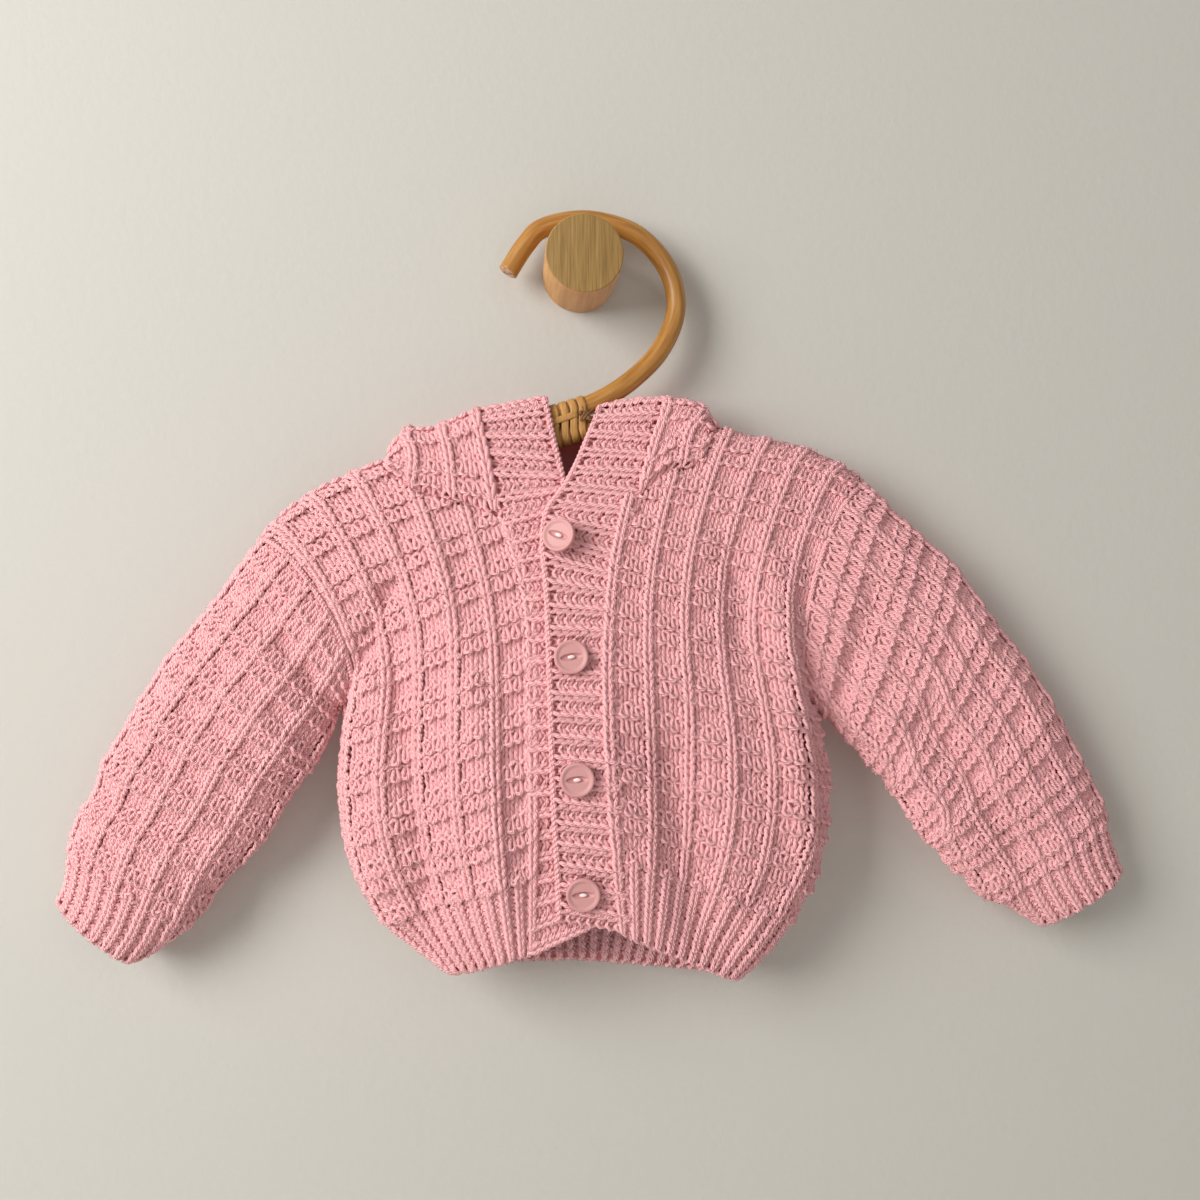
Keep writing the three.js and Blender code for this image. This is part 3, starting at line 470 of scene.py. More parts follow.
def panel(surface, outward, across=121, up=121, in_step=False, smoothing=0, creases=()):
    """Grid of points and normals, even by length both ways, with each row's length and
    the number of knitted rows that fit.

    in_step spaces every row alike, by the mean of their lengths. smoothing slides the points up
    and down between the side edges, so that columns of stitches bend gently; the rolled top is
    left as it is. creases are worked in last.
    """
    a = np.linspace(0, 1, 4 * across)[None, :]
    b = np.linspace(0, 1, 3 * up)[:, None]
    rough = surface(a[:, ::8], b)
    rise = np.linalg.norm(np.diff(rough, axis=0), axis=2).mean(1)
    height = np.concatenate([[0], np.cumsum(rise)])
    b = np.interp(np.linspace(0, height[-1], up), height, b[:, 0])[:, None]
    raw = surface(a, b)
    run = running_length(raw)
    if in_step:
        run = np.broadcast_to(run.mean(0), run.shape)
    goal = np.linspace(0, 1, across)
    points = np.array([
        np.stack([np.interp(goal * r[-1], r, line[:, k]) for k in range(3)], -1)
        for r, line in zip(run, raw)
    ])
    below_top = np.clip((1 - np.linspace(0, 1, up)) / ROLLED_TOP - 1, 0, 1)[1:-1, None, None]
    ease = 0.5 * (1 - np.abs(2 * goal - 1) ** 6)[:, None] * below_top
    for _ in range(smoothing):
        middle = (points[:-2] + points[2:]) / 2
        points[1:-1] += ease * (middle - points[1:-1])
    normals = normals_of(points, outward)
    if creases:
        rim = (1 - np.abs(2 * goal - 1) ** 12) * (1 - np.linspace(0, 1, up)[:, None] ** 12)
        points += (crease_height(points, creases) * rim)[..., None] * normals
        normals = normals_of(points, outward)
    return dict(points=points, normals=normals, widths=run[:, -1],
                rows=int(height[-1] / ROW_HEIGHT))


def normals_of(points, outward):
    normals = unit(np.cross(np.gradient(points, axis=1), np.gradient(points, axis=0)))
    return -normals if (normals * outward(points)).sum() < 0 else normals


def sample(field, a, b):
    """Reads a grid at shares across and up."""
    rows, columns = field.shape[:2]
    x, y = np.clip(a, 0, 1) * (columns - 1), np.clip(b, 0, 1) * (rows - 1)
    i, j = np.minimum(x.astype(int), columns - 2), np.minimum(y.astype(int), rows - 2)
    fx, fy = x - i, y - j
    if field.ndim == 3:
        fx, fy = fx[..., None], fy[..., None]
    low = field[j, i] * (1 - fx) + field[j, i + 1] * fx
    high = field[j + 1, i] * (1 - fx) + field[j + 1, i + 1] * fx
    return low * (1 - fy) + high * fy


def toward_front(points):
    return np.broadcast_to(FORWARD, points.shape)


def toward_wall(points):
    return -toward_front(points)


def from_middle(points):
    return points - points.mean(1, keepdims=True)


def at_start(points):
    """Outward means forward, judged on the first tenth of the columns."""
    way = np.zeros(points.shape)
    way[:, : points.shape[1] // 10, 1] = -1
    return way


def first_rows(points):
    """Outward means forward, judged on the first fifth of the rows."""
    way = np.zeros(points.shape)
    way[: points.shape[0] // 5, :, 1] = -1
    return way


# ---- meshes ----
def make_mesh(name, points, faces, material, smooth=True, uv=None):
    """A mesh object from points in millimetres and an array of triangles or quads."""
    mesh = bpy.data.meshes.new(name)
    sides = faces.shape[1]
    mesh.vertices.add(len(points))
    mesh.vertices.foreach_set("co", (points * MM).astype(np.float32).ravel())
    mesh.loops.add(faces.size)
    mesh.loops.foreach_set("vertex_index", faces.astype(np.int32).ravel())
    mesh.polygons.add(len(faces))
    mesh.polygons.foreach_set("loop_start", np.arange(0, faces.size, sides, dtype=np.int32))
    mesh.update(calc_edges=True)
    mesh.polygons.foreach_set("use_smooth", np.full(len(faces), smooth))
    if uv is not None:
        layer = mesh.uv_layers.new(name="Yarn")
        layer.data.foreach_set("uv", uv.astype(np.float32).ravel())
    mesh.materials.append(material)
    piece = bpy.data.objects.new(name, mesh)
    bpy.context.scene.collection.objects.link(piece)
    return piece


def grid_faces(rows, columns, round_rows=False, round_columns=False):
    """Quads of a grid, closed on itself in the ways asked for."""
    i = np.arange(rows if round_rows else rows - 1)[:, None]
    j = np.arange(columns if round_columns else columns - 1)[None, :]
    i2, j2 = (i + 1) % rows, (j + 1) % columns
    corners = (i * columns + j, i * columns + j2, i2 * columns + j2, i2 * columns + j)
    return np.stack(np.broadcast_arrays(*corners), -1).reshape(-1, 4)


def weld(piece):
    """Merges coincident points and turns every face outward."""
    shape = bmesh.new()
    shape.from_mesh(piece.data)
    bmesh.ops.remove_doubles(shape, verts=shape.verts, dist=2e-6)
    bmesh.ops.recalc_face_normals(shape, faces=shape.faces)
    shape.to_mesh(piece.data)
    shape.free()


def tubes(name, paths, up, radius, sides, material, keep=None):
    """Tubes along many paths at once: paths is (lines, points, 3). Ends are drawn to a point."""
    lines, count = paths.shape[:2]
    keep = np.ones((lines, count), bool) if keep is None else keep
    keep = keep & (np.arange(count) > 0) & (np.arange(count) < count - 1)
    way = unit(np.gradient(paths, axis=1))
    side = unit(np.cross(way, up))
    top = np.cross(side, way)
    radius = np.where(keep, radius, 0.02)
    turn = np.arange(sides) * 2 * PI / sides
    ring = np.cos(turn)[:, None] * top[:, :, None] + np.sin(turn)[:, None] * side[:, :, None]
    points = paths[:, :, None] + ring * radius[..., None, None]
    line = np.arange(lines)[:, None, None] * count * sides
    i = np.arange(count - 1)[None, :, None] * sides
    k = np.arange(sides)[None, None, :]
    k2 = (k + 1) % sides
    quads = np.stack(
        [line + i + k, line + i + k2, line + i + sides + k2, line + i + sides + k], -1)
    shown = (keep[:, :-1] | keep[:, 1:])[:, :, None] & np.ones((1, 1, sides), bool)
    run = running_length(paths)
    u1, u2 = run[:, :-1, None] + 0 * k, run[:, 1:, None] + 0 * k
    v1, v2 = k / sides + 0 * u1, (k + 1) / sides + 0 * u1
    uv = np.stack([np.stack(p, -1) for p in ((u1, v1), (u1, v2), (u2, v2), (u2, v1))], -2)
    quads, uv = quads[shown], uv[shown]
    used, faces = np.unique(quads, return_inverse=True)
    return make_mesh(
        name, points.reshape(-1, 3)[used], faces.reshape(-1, 4), material, uv=uv,
    )


# ---- stitches ----
def chart(i, j, ribs):
    """+1 for a knit stitch and -1 for a purl one: ribs at the edge, then the pattern."""
    rib = np.where(i % 2 == 0, 1, -1)
    purl = (i % REPEAT_WIDE != 0) & np.isin(j % REPEAT_HIGH, PURL_ROWS)
    return np.where(j < ribs, rib, np.where(purl, -1, 1))


def relief(i, j, ribs):
    """How far whole stitches stand out: rope columns and purl ridges high, plain rows low."""
    sign = chart(i, j, ribs)
    rope = i % REPEAT_WIDE == 0
    pattern = np.where(rope, ROPE_HIGH, np.where(sign < 0, PURL_HIGH, PLAIN_HIGH))
    return np.where(j < ribs, np.where(sign > 0, RIB_HIGH, -RIB_HIGH), pattern)


def knit(name, cloth, first, count, rows, ribs, place, keep, sides=4, radius=YARN):
    """Every row of a panel as one strand. place turns stitches and rows into shares."""
    t = whole_turn(LOOP_STEPS)
    i = first + np.arange(count)[None, :, None]
    j = np.arange(rows)[:, None, None]
    own = chart(i, j, ribs)
    beside = np.where(t < PI, chart(i - 1, j, ribs), chart(i + 1, j, ribs))
    above = chart(i, j + 1, ribs)
    base, head = ((1 + np.cos(t)) / 2) ** 2, ((1 - np.cos(t)) / 2) ** 2
    uneven = UNEVEN[:, None, None, None] * rng.normal(0, 1, (4, rows, count, 1))
    x = i + t / (2 * PI) + (LOOP_SWING + uneven[0]) * np.sin(2 * t)
    y = j + 1 - (LOOP_REACH + uneven[1]) * np.cos(t) + uneven[2] * np.sin(t / 2)
    depth = LOOP_DEPTH * (own * np.sin(t) ** 2 - (own + beside) / 2 * base - above * head)
    high = relief(i, j, ribs)
    near = relief(np.where(t < PI, i - 1, i + 1), j, ribs)
    share = 0.5 * base
    depth = depth + mix(high, near, share) + uneven[3]
    x, y, depth = (np.broadcast_to(q, own.shape[:2] + t.shape).reshape(rows, -1)
                   for q in (x, y, depth))
    a, b = place(x, y)
    normal = sample(cloth["normals"], a, b)
    path = sample(cloth["points"], a, b) + normal * depth[..., None]
    shown = keep(path, a, b)
    return finish_piece(tubes(name, path, normal, radius, sides, yarn, shown), "yarn")


def twisted_edge(name, line, up, pitch=4.75, radius=0.9, swing=0.8, steps=8):
    """Two strands wound round each other along an edge: a cast-off chain."""
    run = running_length(line)
    goal = np.linspace(0, run[-1], int(run[-1] / pitch * steps))
    spread = [np.stack([np.interp(goal, run, q[:, k]) for k in range(3)], -1) for q in (line, up)]
    middle, out = spread[0], unit(spread[1])
    side = unit(np.cross(np.gradient(middle, axis=0), out))
    strands = []
    for phase in (0, PI):
        angle = (goal / pitch * 2 * PI + phase)[:, None]
        strands.append(middle + swing * (np.cos(angle) * out + np.sin(angle) * side))
    return finish_piece(
        tubes(name, np.array(strands), np.array([out, out]), radius, 5, yarn), "yarn")


# ---- materials ----
def material(name, colour, roughness, **more):
    """A plain Principled material; its node tree can be added to."""
    made = bpy.data.materials.new(name)
    made.use_nodes = True
    shader = made.node_tree.nodes["Principled BSDF"]
    shader.inputs["Base Color"].default_value = (*colour, 1)
    shader.inputs["Roughness"].default_value = roughness
    for socket, value in more.items():
        shader.inputs[socket.replace("_", " ")].default_value = value
    return made, made.node_tree, shader


def add_node(tree, kind, values=None, **inputs):
    """A node with its settings in values; an input is a value or another node's output."""
    made = tree.nodes.new(kind)
    for key, value in (values or {}).items():
        setattr(made, key, value)
    for key, value in inputs.items():
        socket = made.inputs[int(key[1:])] if key[0] == "i" and key[1:].isdigit() \
            else made.inputs[key.replace("_", " ")]
        if isinstance(value, bpy.types.NodeSocket):
            tree.links.new(value, socket)
        else:
            socket.default_value = value
    return made


def ramp(tree, factor, stops):
    made = add_node(tree, "ShaderNodeValToRGB", Fac=factor)
    while len(made.color_ramp.elements) < len(stops):
        made.color_ramp.elements.new(0.5)
    for element, (place, colour) in zip(made.color_ramp.elements, stops):
        element.position = place
        element.color = (*colour, 1)
    return made.outputs["Color"]


def calc(tree, operation, a, b=0.0):
    return add_node(tree, "ShaderNodeMath", {"operation": operation}, i0=a, i1=b).outputs[0]


PINK = (0.985, 0.515, 0.535)


def object_place(tree):
    return add_node(tree, "ShaderNodeTexCoord").outputs["Object"]


def noise(tree, place, scale, detail):
    return add_node(
        tree, "ShaderNodeTexNoise", Vector=place, Scale=scale, Detail=detail).outputs[0]


def add_bump(tree, shader, height, strength, distance):
    bump = add_node(tree, "ShaderNodeBump", Height=height, Strength=strength, Distance=distance)
    tree.links.new(bump.outputs[0], shader.inputs["Normal"])


def yarn_material():
    """Soft acrylic yarn: four plies wound round each other, with a short pale nap."""
    made, tree, shader = material(
        "yarn", PINK, 0.9, Sheen_Weight=0.1, Sheen_Roughness=0.4,
        Specular_IOR_Level=0.1,
    )
    shader.inputs["Sheen Tint"].default_value = (1.0, 0.8, 0.82, 1)
    place = add_node(tree, "ShaderNodeUVMap", {"uv_map": "Yarn"}).outputs[0]
    parts = add_node(tree, "ShaderNodeSeparateXYZ", i0=place)
    along = calc(tree, "MULTIPLY", parts.outputs[0], 2 * PI / 6.4 * 4)
    around = calc(tree, "MULTIPLY", parts.outputs[1], 2 * PI * 4)
    ply = calc(tree, "ABSOLUTE", calc(tree, "SINE", calc(
        tree, "MULTIPLY", calc(tree, "ADD", along, around), 0.5)))
    add_bump(tree, shader, ply, 0.9, 0.0004)
    return made


def gap_shade_material():
    # painted shade: this dark pink stands for the shadow in the gaps between the stitches
    return material("yarn_gap_painted_shade", (0.66, 0.22, 0.24), 1.0, Specular_IOR_Level=0.0)[0]


def cane_material():
    """Peeled rattan: golden tan, fine streaks along the cane, a satin surface."""
    made, tree, shader = material("rattan", (0.5, 0.27, 0.09), 0.36)
    place = add_node(tree, "ShaderNodeUVMap", {"uv_map": "Yarn"}).outputs[0]
    long_way = add_node(tree, "ShaderNodeMapping", Vector=place, Scale=(0.03, 9.0, 1.0))
    streaks = noise(tree, long_way.outputs[0], 1.6, 6.0)
    colour = ramp(tree, streaks, [
        (0.3, (0.3, 0.12, 0.02)), (0.55, (0.44, 0.2, 0.04)), (0.75, (0.52, 0.27, 0.07))])
    tree.links.new(colour, shader.inputs["Base Color"])
    add_bump(tree, shader, streaks, 0.15, 0.0003)
    return made


def strip_material():
    """Flat split cane of the binding, paler and drier than the round cane."""
    made, tree, shader = material("binding", (0.55, 0.36, 0.16), 0.6)
    place = object_place(tree)
    fine = add_node(tree, "ShaderNodeMapping", Vector=place, Scale=(1800.0, 300.0, 120.0))
    grain = noise(tree, fine.outputs[0], 1.0, 4.0)
    colour = ramp(tree, grain, [
        (0.3, (0.35, 0.16, 0.035)), (0.6, (0.53, 0.27, 0.075)), (0.8, (0.61, 0.34, 0.11))])
    tree.links.new(colour, shader.inputs["Base Color"])
    return made


def peg_material():
    """Beech-like wood: fine slanted lines on the flat end, pinker and plainer round the side."""
    made, tree, shader = material("peg_wood", (0.5, 0.34, 0.17), 0.5)
    place = object_place(tree)
    turned = add_node(tree, "ShaderNodeMapping", Vector=place, Rotation=(0.0, 0.6, 0.0),
                      Scale=(1500.0, 20.0, 55.0))
    lines = noise(tree, turned.outputs[0], 1.0, 3.0)
    end = ramp(tree, lines, [
        (0.3, (0.21, 0.115, 0.03)), (0.55, (0.31, 0.18, 0.05)), (0.75, (0.38, 0.235, 0.08))])
    soft = add_node(tree, "ShaderNodeMapping", Vector=place, Scale=(300.0, 25.0, 300.0))
    rings = noise(tree, soft.outputs[0], 1.0, 3.0)
    barrel = ramp(tree, rings, [
        (0.3, (0.46, 0.23, 0.075)), (0.6, (0.59, 0.31, 0.11)), (0.8, (0.65, 0.37, 0.15))])
    depth = add_node(tree, "ShaderNodeSeparateXYZ", i0=place).outputs[1]
    is_end = calc(tree, "LESS_THAN", depth, (-PEG_LENGTH + 0.3) * MM)
    both = add_node(tree, "ShaderNodeMix", {"data_type": "RGBA"}, Factor=is_end)
    tree.links.new(barrel, both.inputs[6])
    tree.links.new(end, both.inputs[7])
    tree.links.new(both.outputs[2], shader.inputs["Base Color"])
    return made


def finish_piece(piece, slot_name, *nodes):
    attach(piece, "root")
    if nodes:
        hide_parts(*nodes)
    return piece


yarn = yarn_material()
# the sheet under the yarn takes this dark pink as painted shade for the gaps between stitches
gap_shade = gap_shade_material()


# ---- cloth ----
def gap_shade_sheet(name, node, cloths, keeps, sink=-1.2):
    """A thin sheet that fills the gaps under the yarn, dark pink as painted shade for the shadow
    between the stitches: every third point of the panels, sunk a little.
    """
    points, faces, start = [], [], 0
    for cloth, keep in zip(cloths, keeps):
        grid = (cloth["points"] + sink * cloth["normals"])[::3, ::3]
        rows, columns = grid.shape[:2]
        quads = grid_faces(rows, columns)
        inside = keep(grid).ravel()
        quads = quads[inside[quads].all(1)]
        points.append(grid.reshape(-1, 3))
        faces.append(quads + start)
        start += rows * columns
    points, faces = np.concatenate(points), np.concatenate(faces)
    used, index = np.unique(faces, return_inverse=True)
    piece = make_mesh(name, points[used], index.reshape(-1, 4), gap_shade)
    return finish_piece(piece, "yarn", node)


def everywhere(points, *_):
    return np.ones(points.shape[:-1], bool)


def evenly(count, rows):
    return lambda x, y: (x / count, y / rows)


def front(half, name, count, creases):
    cloth = panel(lambda a, b: front_point(half, mix(-0.04, 1, a), b), toward_front,
                  smoothing=SMOOTHING, creases=creases)
    rows = cloth["rows"]
    neck = half["neck"]
    shell = gap_shade_sheet(f"{name}_cloth", name, [cloth], [lambda p: below_neck(neck, p)])
    stitches = knit(
        f"{name}_stitches", cloth, 0, count, rows, HEM_ROWS, evenly(count, rows),
        lambda p, a, b: below_neck(neck, p) & (b < 1))


def back():
    cloth = panel(back_point, toward_wall, across=241, smoothing=SMOOTHING,
                  creases=CREASES_BACK)
    rows = cloth["rows"]
    count = 54
    shell = gap_shade_sheet("back_cloth", "back", [cloth], [lambda p: below_neck(NECK_BACK, p)],
                         sink=0.0)
    stitches = knit(
        "back_stitches", cloth, 0, count, rows, HEM_ROWS, evenly(count, rows),
        lambda p, a, b: below_neck(NECK_BACK, p) & (b < 1), **BEHIND)


def sleeve(half, name, creases):
    def around(a, b):
        return sleeve_point(half, (2 * a - 1) * PI, 1 - b)

    cloth = panel(around, from_middle, creases=creases)
    rows = cloth["rows"]
    heights = np.linspace(0, 1, len(cloth["widths"]))
    widths = [[0, 3.15], [0.15, 3.7], [0.4, 4.1], [1, 4.15]]  # share up the sleeve, stitch width
    most = int(cloth["widths"].max() / 2 / STITCH_WIDTH) + 1

    def place(x, y):
        b = y / (rows + 0.3)
        wide = read(np.array(widths), b, 1)
        return 0.5 + x * wide / np.interp(b, heights, cloth["widths"]), b

    shell = gap_shade_sheet(f"{name}_cloth", name, [cloth], [everywhere])
    stitches = knit(
        f"{name}_stitches", cloth, -most, 2 * most, rows, CUFF_ROWS, place,
        lambda p, a, b: (a > 0) & (a < 1))
    turn = np.linspace(-PI, PI, 241)
    line = sleeve_point(half, turn, np.zeros_like(turn))
    out = unit(line - line.mean(0))
    out[:, 1] = -np.sin(turn)
    out = unit(out)
    seam = twisted_edge(f"{name}_seam", line + out * 0.9, out, 3.4, 0.85, 0.6)


def band():
    cloth = panel(lambda a, b: band_point(a, mix(-0.1, 1, b)), at_start, across=481, up=25,
                  in_step=True)
    count = 2 * int(cloth["widths"].mean() / BAND_STITCH / 2)
    shell = gap_shade_sheet("front_band_cloth", "front_band", [cloth], [everywhere])
    stitches = knit(
        "front_band_stitches", cloth, 0, count, BAND_ROWS, BAND_ROWS + 1,
        evenly(count, BAND_ROWS + 0.8), everywhere)
    edge = twisted_edge(
        "front_band_edge", cloth["points"][-1] + cloth["normals"][-1] * 0.3,
        cloth["normals"][-1])


def hood():
    flaps = []
    for half, roll in ((RIGHT, ROLL_RIGHT), (LEFT, ROLL_LEFT)):
        flaps.append(panel(
            lambda k, t, half=half, roll=roll: flap_point(half, roll, k, t), first_rows,
            across=49, up=61))
    pouch = panel(pouch_point, from_middle, across=241, up=91)
    shell = gap_shade_sheet("hood_cloth", "hood", [*flaps, pouch], [everywhere] * 3)
    for side, cloth in zip(("right", "left"), flaps):
        count = int(cloth["widths"].mean() / STITCH_WIDTH)
        rows = cloth["rows"]
        knit(
            f"hood_{side}_stitches", cloth, 0, count, rows, 0,
            evenly(count, rows), everywhere)
    count = int(pouch["widths"].max() / 2 / STITCH_WIDTH)
    rows = pouch["rows"]
    knit(
        "hood_back_stitches", pouch, 0, count, rows, 0,
        lambda x, y: (0.5 * x / count, 1 - y / rows),
        lambda p, a, b: (a < 0.5) & (b > 0), **BEHIND)


# ---- buttons ----
def turned(degrees, axis):
    a = math.radians(degrees)
    c, s = math.cos(a), math.sin(a)
    if axis == "x":
        return np.array([[1, 0, 0], [0, c, -s], [0, s, c]])
    return np.array([[c, -s, 0], [s, c, 0], [0, 0, 1]])


def buttons():
    """Dished discs with a lens-shaped hollow and a bar of sewing thread across its middle."""
    shade = material("button", (0.61, 0.3, 0.295), 0.5, Specular_IOR_Level=0.4)[0]
    thread = material("button_thread", (0.9, 0.72, 0.72), 0.8)[0]
    back_rings = np.array([[0.0, 0.0], [4.0, 0.0], [6.9, 0.0], [7.45, 0.25], [7.6, 0.8]])
    rim = np.array([[7.6, 1.8], [7.5, 2.3], [7.2, 2.55], [6.8, 2.6], [6.4, 2.52], [6.0, 2.3],
                    [5.6, 2.12]])
    face = np.column_stack([np.linspace(5.2, 0, 27), np.full(27, 2.0)])
    rings = np.concatenate([back_rings, rim, face])
    angle = whole_turn(96)
    x = rings[:, :1] * np.cos(angle)
    y = rings[:, :1] * np.sin(angle)
    z = rings[:, 1:] + 0 * x
    inside = np.clip(1 - (x / 4.9) ** 2 - (np.abs(y) / 1.6) ** 1.6, 0, 1)
    top = np.arange(len(rings))[:, None] >= len(back_rings) + len(rim)
    z = np.where(top, z - 1.5 * inside**0.4, z)
    shape = np.stack([x, y, z], -1)
    u, v = np.meshgrid(whole_turn(24), np.linspace(-PI / 2, PI / 2, 13))
    knot = np.stack([1.7 * np.cos(v) * np.cos(u), 0.85 * np.cos(v) * np.sin(u),
                     0.75 * np.sin(v) + 1.55], -1)
    for k, (cx, cz, turn, tilt) in enumerate(BUTTONS, 1):
        ahead, behind = (float(front_distance(cz + s * BUTTON_RADIUS, 0)) for s in (1, -1))
        pitch = math.degrees(math.atan((ahead - behind) / (2 * BUTTON_RADIUS)))
        lift = CLOTH / 2 + 0.4 + math.sin(math.radians(tilt)) * BUTTON_RADIUS
        wall = float(front_distance(cz, LAP)) + lift
        spin = turned(pitch, "x") @ turned(-tilt, "z") @ turned(90, "x") @ turned(turn, "z")
        for name, form, look in (
            (f"button_{k}_disc", shape, shade), (f"button_{k}_thread", knot, thread)):
            points = form.reshape(-1, 3) @ spin.T + np.array([cx, -wall, cz])
            piece = make_mesh(name, points, grid_faces(*form.shape[:2], round_columns=True), look)
            weld(piece)
            if look is shade:
                finish_piece(piece, "button", f"button_{k}")
            else:
                finish_piece(piece, "yarn")


# ---- hanger and peg ----
KNOT = np.array([0.6, -27.6, -72.5])  # middle of the knot at the binding's frayed end


def cane_line(rows, count):
    t = np.linspace(0, 1, count)
    x, z, wall = along_rows(rows, t).T
    line = np.column_stack([x, -wall, z])
    ends = unit(line[[0, -1]] - line[[1, -2]]) * 0.02
    return np.concatenate([[line[0] + ends[0]], line, [line[-1] + ends[1]]])


def canes():
    look = cane_material()
    for name, rows, node in (("hook_cane", HOOK, "hanger_hook"), ("bar_cane", BAR, "hanger_bar")):
        line = cane_line(rows, 160)
        up = np.broadcast_to(FORWARD, line.shape)
        piece = tubes(name, line[None], up[None], CANE / 2, 28, look)
        finish_piece(piece, "rattan", node)
    tip, after = cane_line(HOOK, 160)[[1, 3]]
    way = unit(tip - after)
    side = unit(np.cross(way, np.array([0.0, 1.0, 0.0])))
    other = np.cross(way, side)
    angle = whole_turn(48)
    rim = np.cos(angle)[:, None] * side + np.sin(angle)[:, None] * other
    rings = [tip + way * out + rim * size for size, out in
             ((4.3, -0.1), (4.3, 0.2), (3.9, 0.45), (2.0, 0.55), (0.0, 0.6))]
    cut, tree, shader = material("cane_end", (0.6, 0.38, 0.24), 0.7)
    place = object_place(tree)
    spots = noise(tree, place, 420.0, 4.0)
    colour = ramp(tree, spots, [
        (0.36, (0.12, 0.06, 0.035)), (0.46, (0.5, 0.28, 0.16)), (0.7, (0.66, 0.43, 0.28))])
    tree.links.new(colour, shader.inputs["Base Color"])
    piece = make_mesh("hook_cut_end", np.concatenate(rings),
                      grid_faces(len(rings), 48, round_columns=True), cut)
    weld(piece)
    finish_piece(piece, "rattan")


def binding():
    """Six flat strips wound side by side round both canes, one along them, and its frayed end."""
    look = strip_material()
    start, end = BINDING
    way = unit(np.array([end[0] - start[0], 0, end[1] - start[1]]))
    up = np.array([-way[2], 0, way[0]])
    radius = CANE / 2 + STRIP / 2
    angle = np.concatenate([np.linspace(0, PI, 17), np.linspace(PI, 2 * PI, 17)])
    on_top = np.arange(34) < 17
    section = np.array([[-1.85, -0.35], [-1.7, 0.22], [-0.9, 0.36], [0.9, 0.36], [1.7, 0.22],
                        [1.85, -0.35], [0.0, -0.4]])
    points, faces = [], []
    for k in range(6):
        share = (k + 0.5) / 6
        x, high, low = start + (end - start) * share
        lean = 0.25 * math.sin(2.3 * k)
        middle = np.where(on_top[:, None], np.array([x, 0, high]), np.array([x, 0, low]))
        out = -np.cos(angle)[:, None] * np.array([0, 1, 0]) + np.sin(angle)[:, None] * up
        middle = middle + np.array([0, -BAR[0, 2], 0]) + way * (lean * np.cos(angle))[:, None]
        ring = (middle[:, None] + out[:, None] * (radius + section[:, 1])[None, :, None]
                + way * section[:, 0][None, :, None])
        points.append(ring.reshape(-1, 3))
        faces.append(grid_faces(34, 7, True, True) + 34 * 7 * k)
    piece = make_mesh("binding_strips", np.concatenate(points), np.concatenate(faces), look)
    weld(piece)
    finish_piece(piece, "binding", "hanger_binding")
    t = np.linspace(0, 1, 21)
    middle = mix(np.array([-20.5, 0, -77.8]), np.array([-2.5, 0, -71.2]), t[:, None])
    middle[:, 1] = -BAR[0, 2] - radius - 0.55 + 0.7 * np.abs(2 * t - 1) ** 6
    ring = (middle[:, None] + up * (section[:, 0] * 0.85)[None, :, None]
            - np.array([0, 1, 0]) * section[:, 1][None, :, None])
    rim = np.concatenate([ring.mean(1, keepdims=True)[:1].repeat(7, 1), ring,
                          ring.mean(1, keepdims=True)[-1:].repeat(7, 1)])
    piece = make_mesh("binding_cross_strip", rim.reshape(-1, 3),
                      grid_faces(23, 7, round_columns=True), look)
    weld(piece)
    finish_piece(piece, "binding")
    t = np.linspace(0, 2 * PI, 41)
    loops = [[2.3, 1.5, 1.4, 0.4], [1.6, 2.2, 1.0, 2.1], [2.0, 1.0, 2.0, 4.0]]  # reaches, turn
    knot = np.array([
        KNOT + np.column_stack([wide * np.cos(t + phase), deep * np.sin(2 * t) * 0.5,
                                high * np.sin(t - phase)])
        for wide, high, deep, phase in loops])
    facing = np.broadcast_to(FORWARD, knot.shape)
    ends = np.linspace(0, 1, 12)[:, None]
    frayed = np.array([
        KNOT + ends * np.array(reach) + 0.5 * np.sin(3 * ends + reach[0]) * np.array([0, 0, 1.0])
        for reach in ([4.6, -1.6, 3.0], [5.2, -1.0, 0.6], [3.4, -2.2, -2.6], [-1.2, -1.8, 3.6])])
    brown = material("binding_knot", (0.2, 0.085, 0.03), 0.8)[0]
    for name, lines, up_way, thick in (
        ("binding_knot", knot, facing, 0.75),
        ("binding_frayed_end", frayed, np.broadcast_to(facing[:1, :12], frayed.shape), 0.28),
    ):
        finish_piece(tubes(name, lines, up_way, thick, 6, brown), "binding")


def peg():
    look = peg_material()
    outline = [(0, 0), (PEG_RADIUS, 0), (PEG_RADIUS, PEG_LENGTH - PEG_BEVEL)]
    outline += [(PEG_RADIUS - PEG_BEVEL * (1 - math.cos(a)), PEG_LENGTH - PEG_BEVEL
                 + PEG_BEVEL * math.sin(a)) for a in np.linspace(0.3, PI / 2, 5)]
    outline = np.array(outline + [(0, PEG_LENGTH)], float)
    angle = whole_turn(96)
    x, z = (outline[:, :1] * f(angle) for f in (np.cos, np.sin))
    points = np.stack([x, -outline[:, 1:] + 0 * x, z], -1)
    faces = grid_faces(len(outline), len(angle), round_columns=True)
    piece = make_mesh("peg", points.reshape(-1, 3), faces, look)
    weld(piece)
    piece.data.shade_smooth()
    piece.data.set_sharp_from_angle(angle=math.radians(50))
    finish_piece(piece, "peg_wood", "wall_peg")


# ---- wall, floor, light, camera ----
def plane(name, corners, look):
    points = np.array(corners, float) / MM
    piece = make_mesh(name, points, np.array([[0, 1, 2, 3]]), look, smooth=False)
    return piece


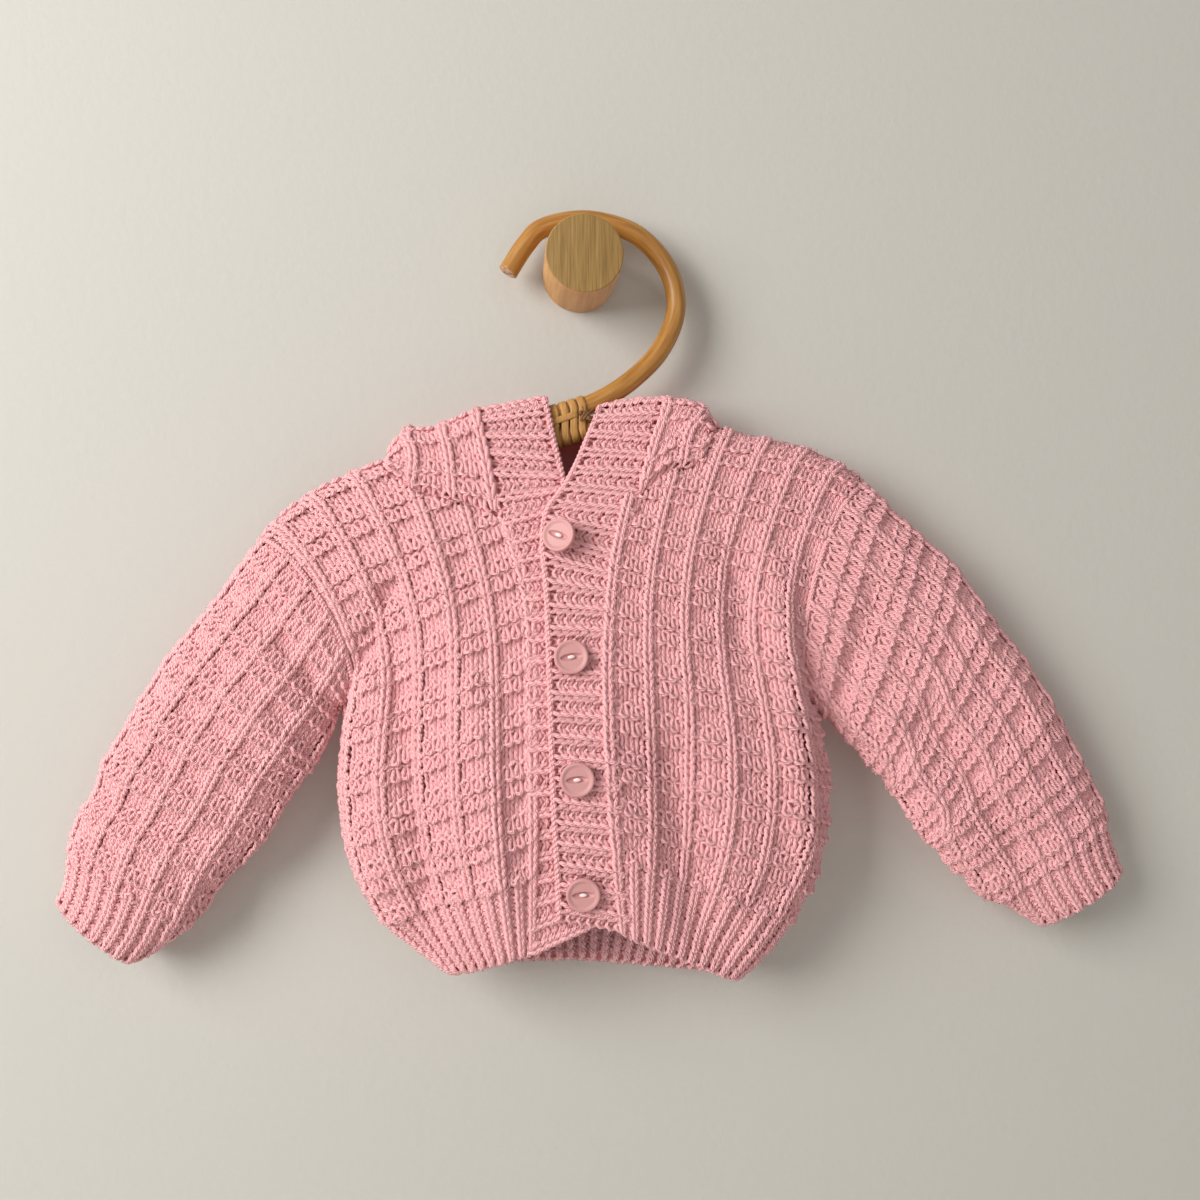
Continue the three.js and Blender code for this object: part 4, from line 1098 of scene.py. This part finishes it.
def surroundings():
    look, tree, shader = material("painted_wall", (0.56, 0.543, 0.503), 0.9)
    place = object_place(tree)
    grain = noise(tree, place, 260.0, 3.0)
    add_bump(tree, shader, grain, 0.25, 0.0006)
    # seen from behind the wall is clear, and it lets the lamp behind it light the garment's back
    rear = add_node(tree, "ShaderNodeNewGeometry").outputs["Backfacing"]
    lamp_ray = add_node(tree, "ShaderNodeLightPath").outputs["Is Shadow Ray"]
    behind = calc(tree, "MAXIMUM", rear, lamp_ray)
    clear = add_node(tree, "ShaderNodeBsdfTransparent")
    either = add_node(tree, "ShaderNodeMixShader", Fac=behind)
    tree.links.new(shader.outputs[0], either.inputs[1])
    tree.links.new(clear.outputs[0], either.inputs[2])
    tree.links.new(either.outputs[0], tree.nodes["Material Output"].inputs["Surface"])
    plane("wall", [
        (x, WALL_Y, z) for x, z in ((-4, FLOOR_Z), (4, FLOOR_Z), (4, 3), (-4, 3))], look)
    pale = material("floor", (0.8, 0.78, 0.75), 0.9)[0]
    plane("floor", [(x, y, FLOOR_Z) for x, y in ((-4, -5), (4, -5), (4, 5), (-4, 5))], pale)


def area_light(name, place, aim, size, energy, colour):
    light = bpy.data.lights.new(name, "AREA")
    light.shape = "RECTANGLE"
    light.size, light.size_y = size
    light.energy = energy
    light.color = colour
    holder = bpy.data.objects.new(name, light)
    bpy.context.scene.collection.objects.link(holder)
    holder.location = place
    way = np.array(aim) - np.array(place)
    holder.rotation_euler = Vector(way).to_track_quat("-Z", "Y").to_euler()


def lights_and_camera():
    area_light("window", (-1.2, -0.95, 0.3), (0.0, 0, -0.15), (0.8, 1.1), 28.5, (1.0, 0.99, 0.965))
    area_light("room", (0.4, -1.9, 0.4), (0, 0, -0.15), (1.6, 1.6), 3, (1.0, 0.95, 0.9))
    area_light("rear", (0.25, 1.3, 0.35), (0, 0, -0.16), (1.2, 1.2), 9, (1.0, 0.98, 0.96))
    world = bpy.data.worlds.new("room")
    world.use_nodes = True
    world.node_tree.nodes["Background"].inputs[0].default_value = (1.0, 0.98, 0.95, 1)
    world.node_tree.nodes["Background"].inputs[1].default_value = 0.36
    scene = bpy.context.scene
    scene.world = world
    scene.view_settings.view_transform = "Standard"
    lens = bpy.data.cameras.new("camera")
    lens.lens, lens.sensor_width = 34.65, 36
    lens.clip_start = 0.01
    camera = bpy.data.objects.new("camera", lens)
    scene.collection.objects.link(camera)
    camera.location = (-0.037, -0.560, -0.160)
    turn = math.radians(4.8)
    way = Vector((math.sin(turn), math.cos(turn), 0.004))
    camera.rotation_euler = way.to_track_quat("-Z", "Y").to_euler()
    scene.camera = camera


lights_and_camera()
front(RIGHT, "right_front", 22, CREASES_RIGHT_FRONT)
front(LEFT, "left_front", 24, CREASES_LEFT_FRONT)
back()
sleeve(RIGHT, "right_sleeve", CREASES_RIGHT_SLEEVE)
sleeve(LEFT, "left_sleeve", CREASES_LEFT_SLEEVE)
band()
hood()
buttons()
canes()
binding()
peg()
surroundings()
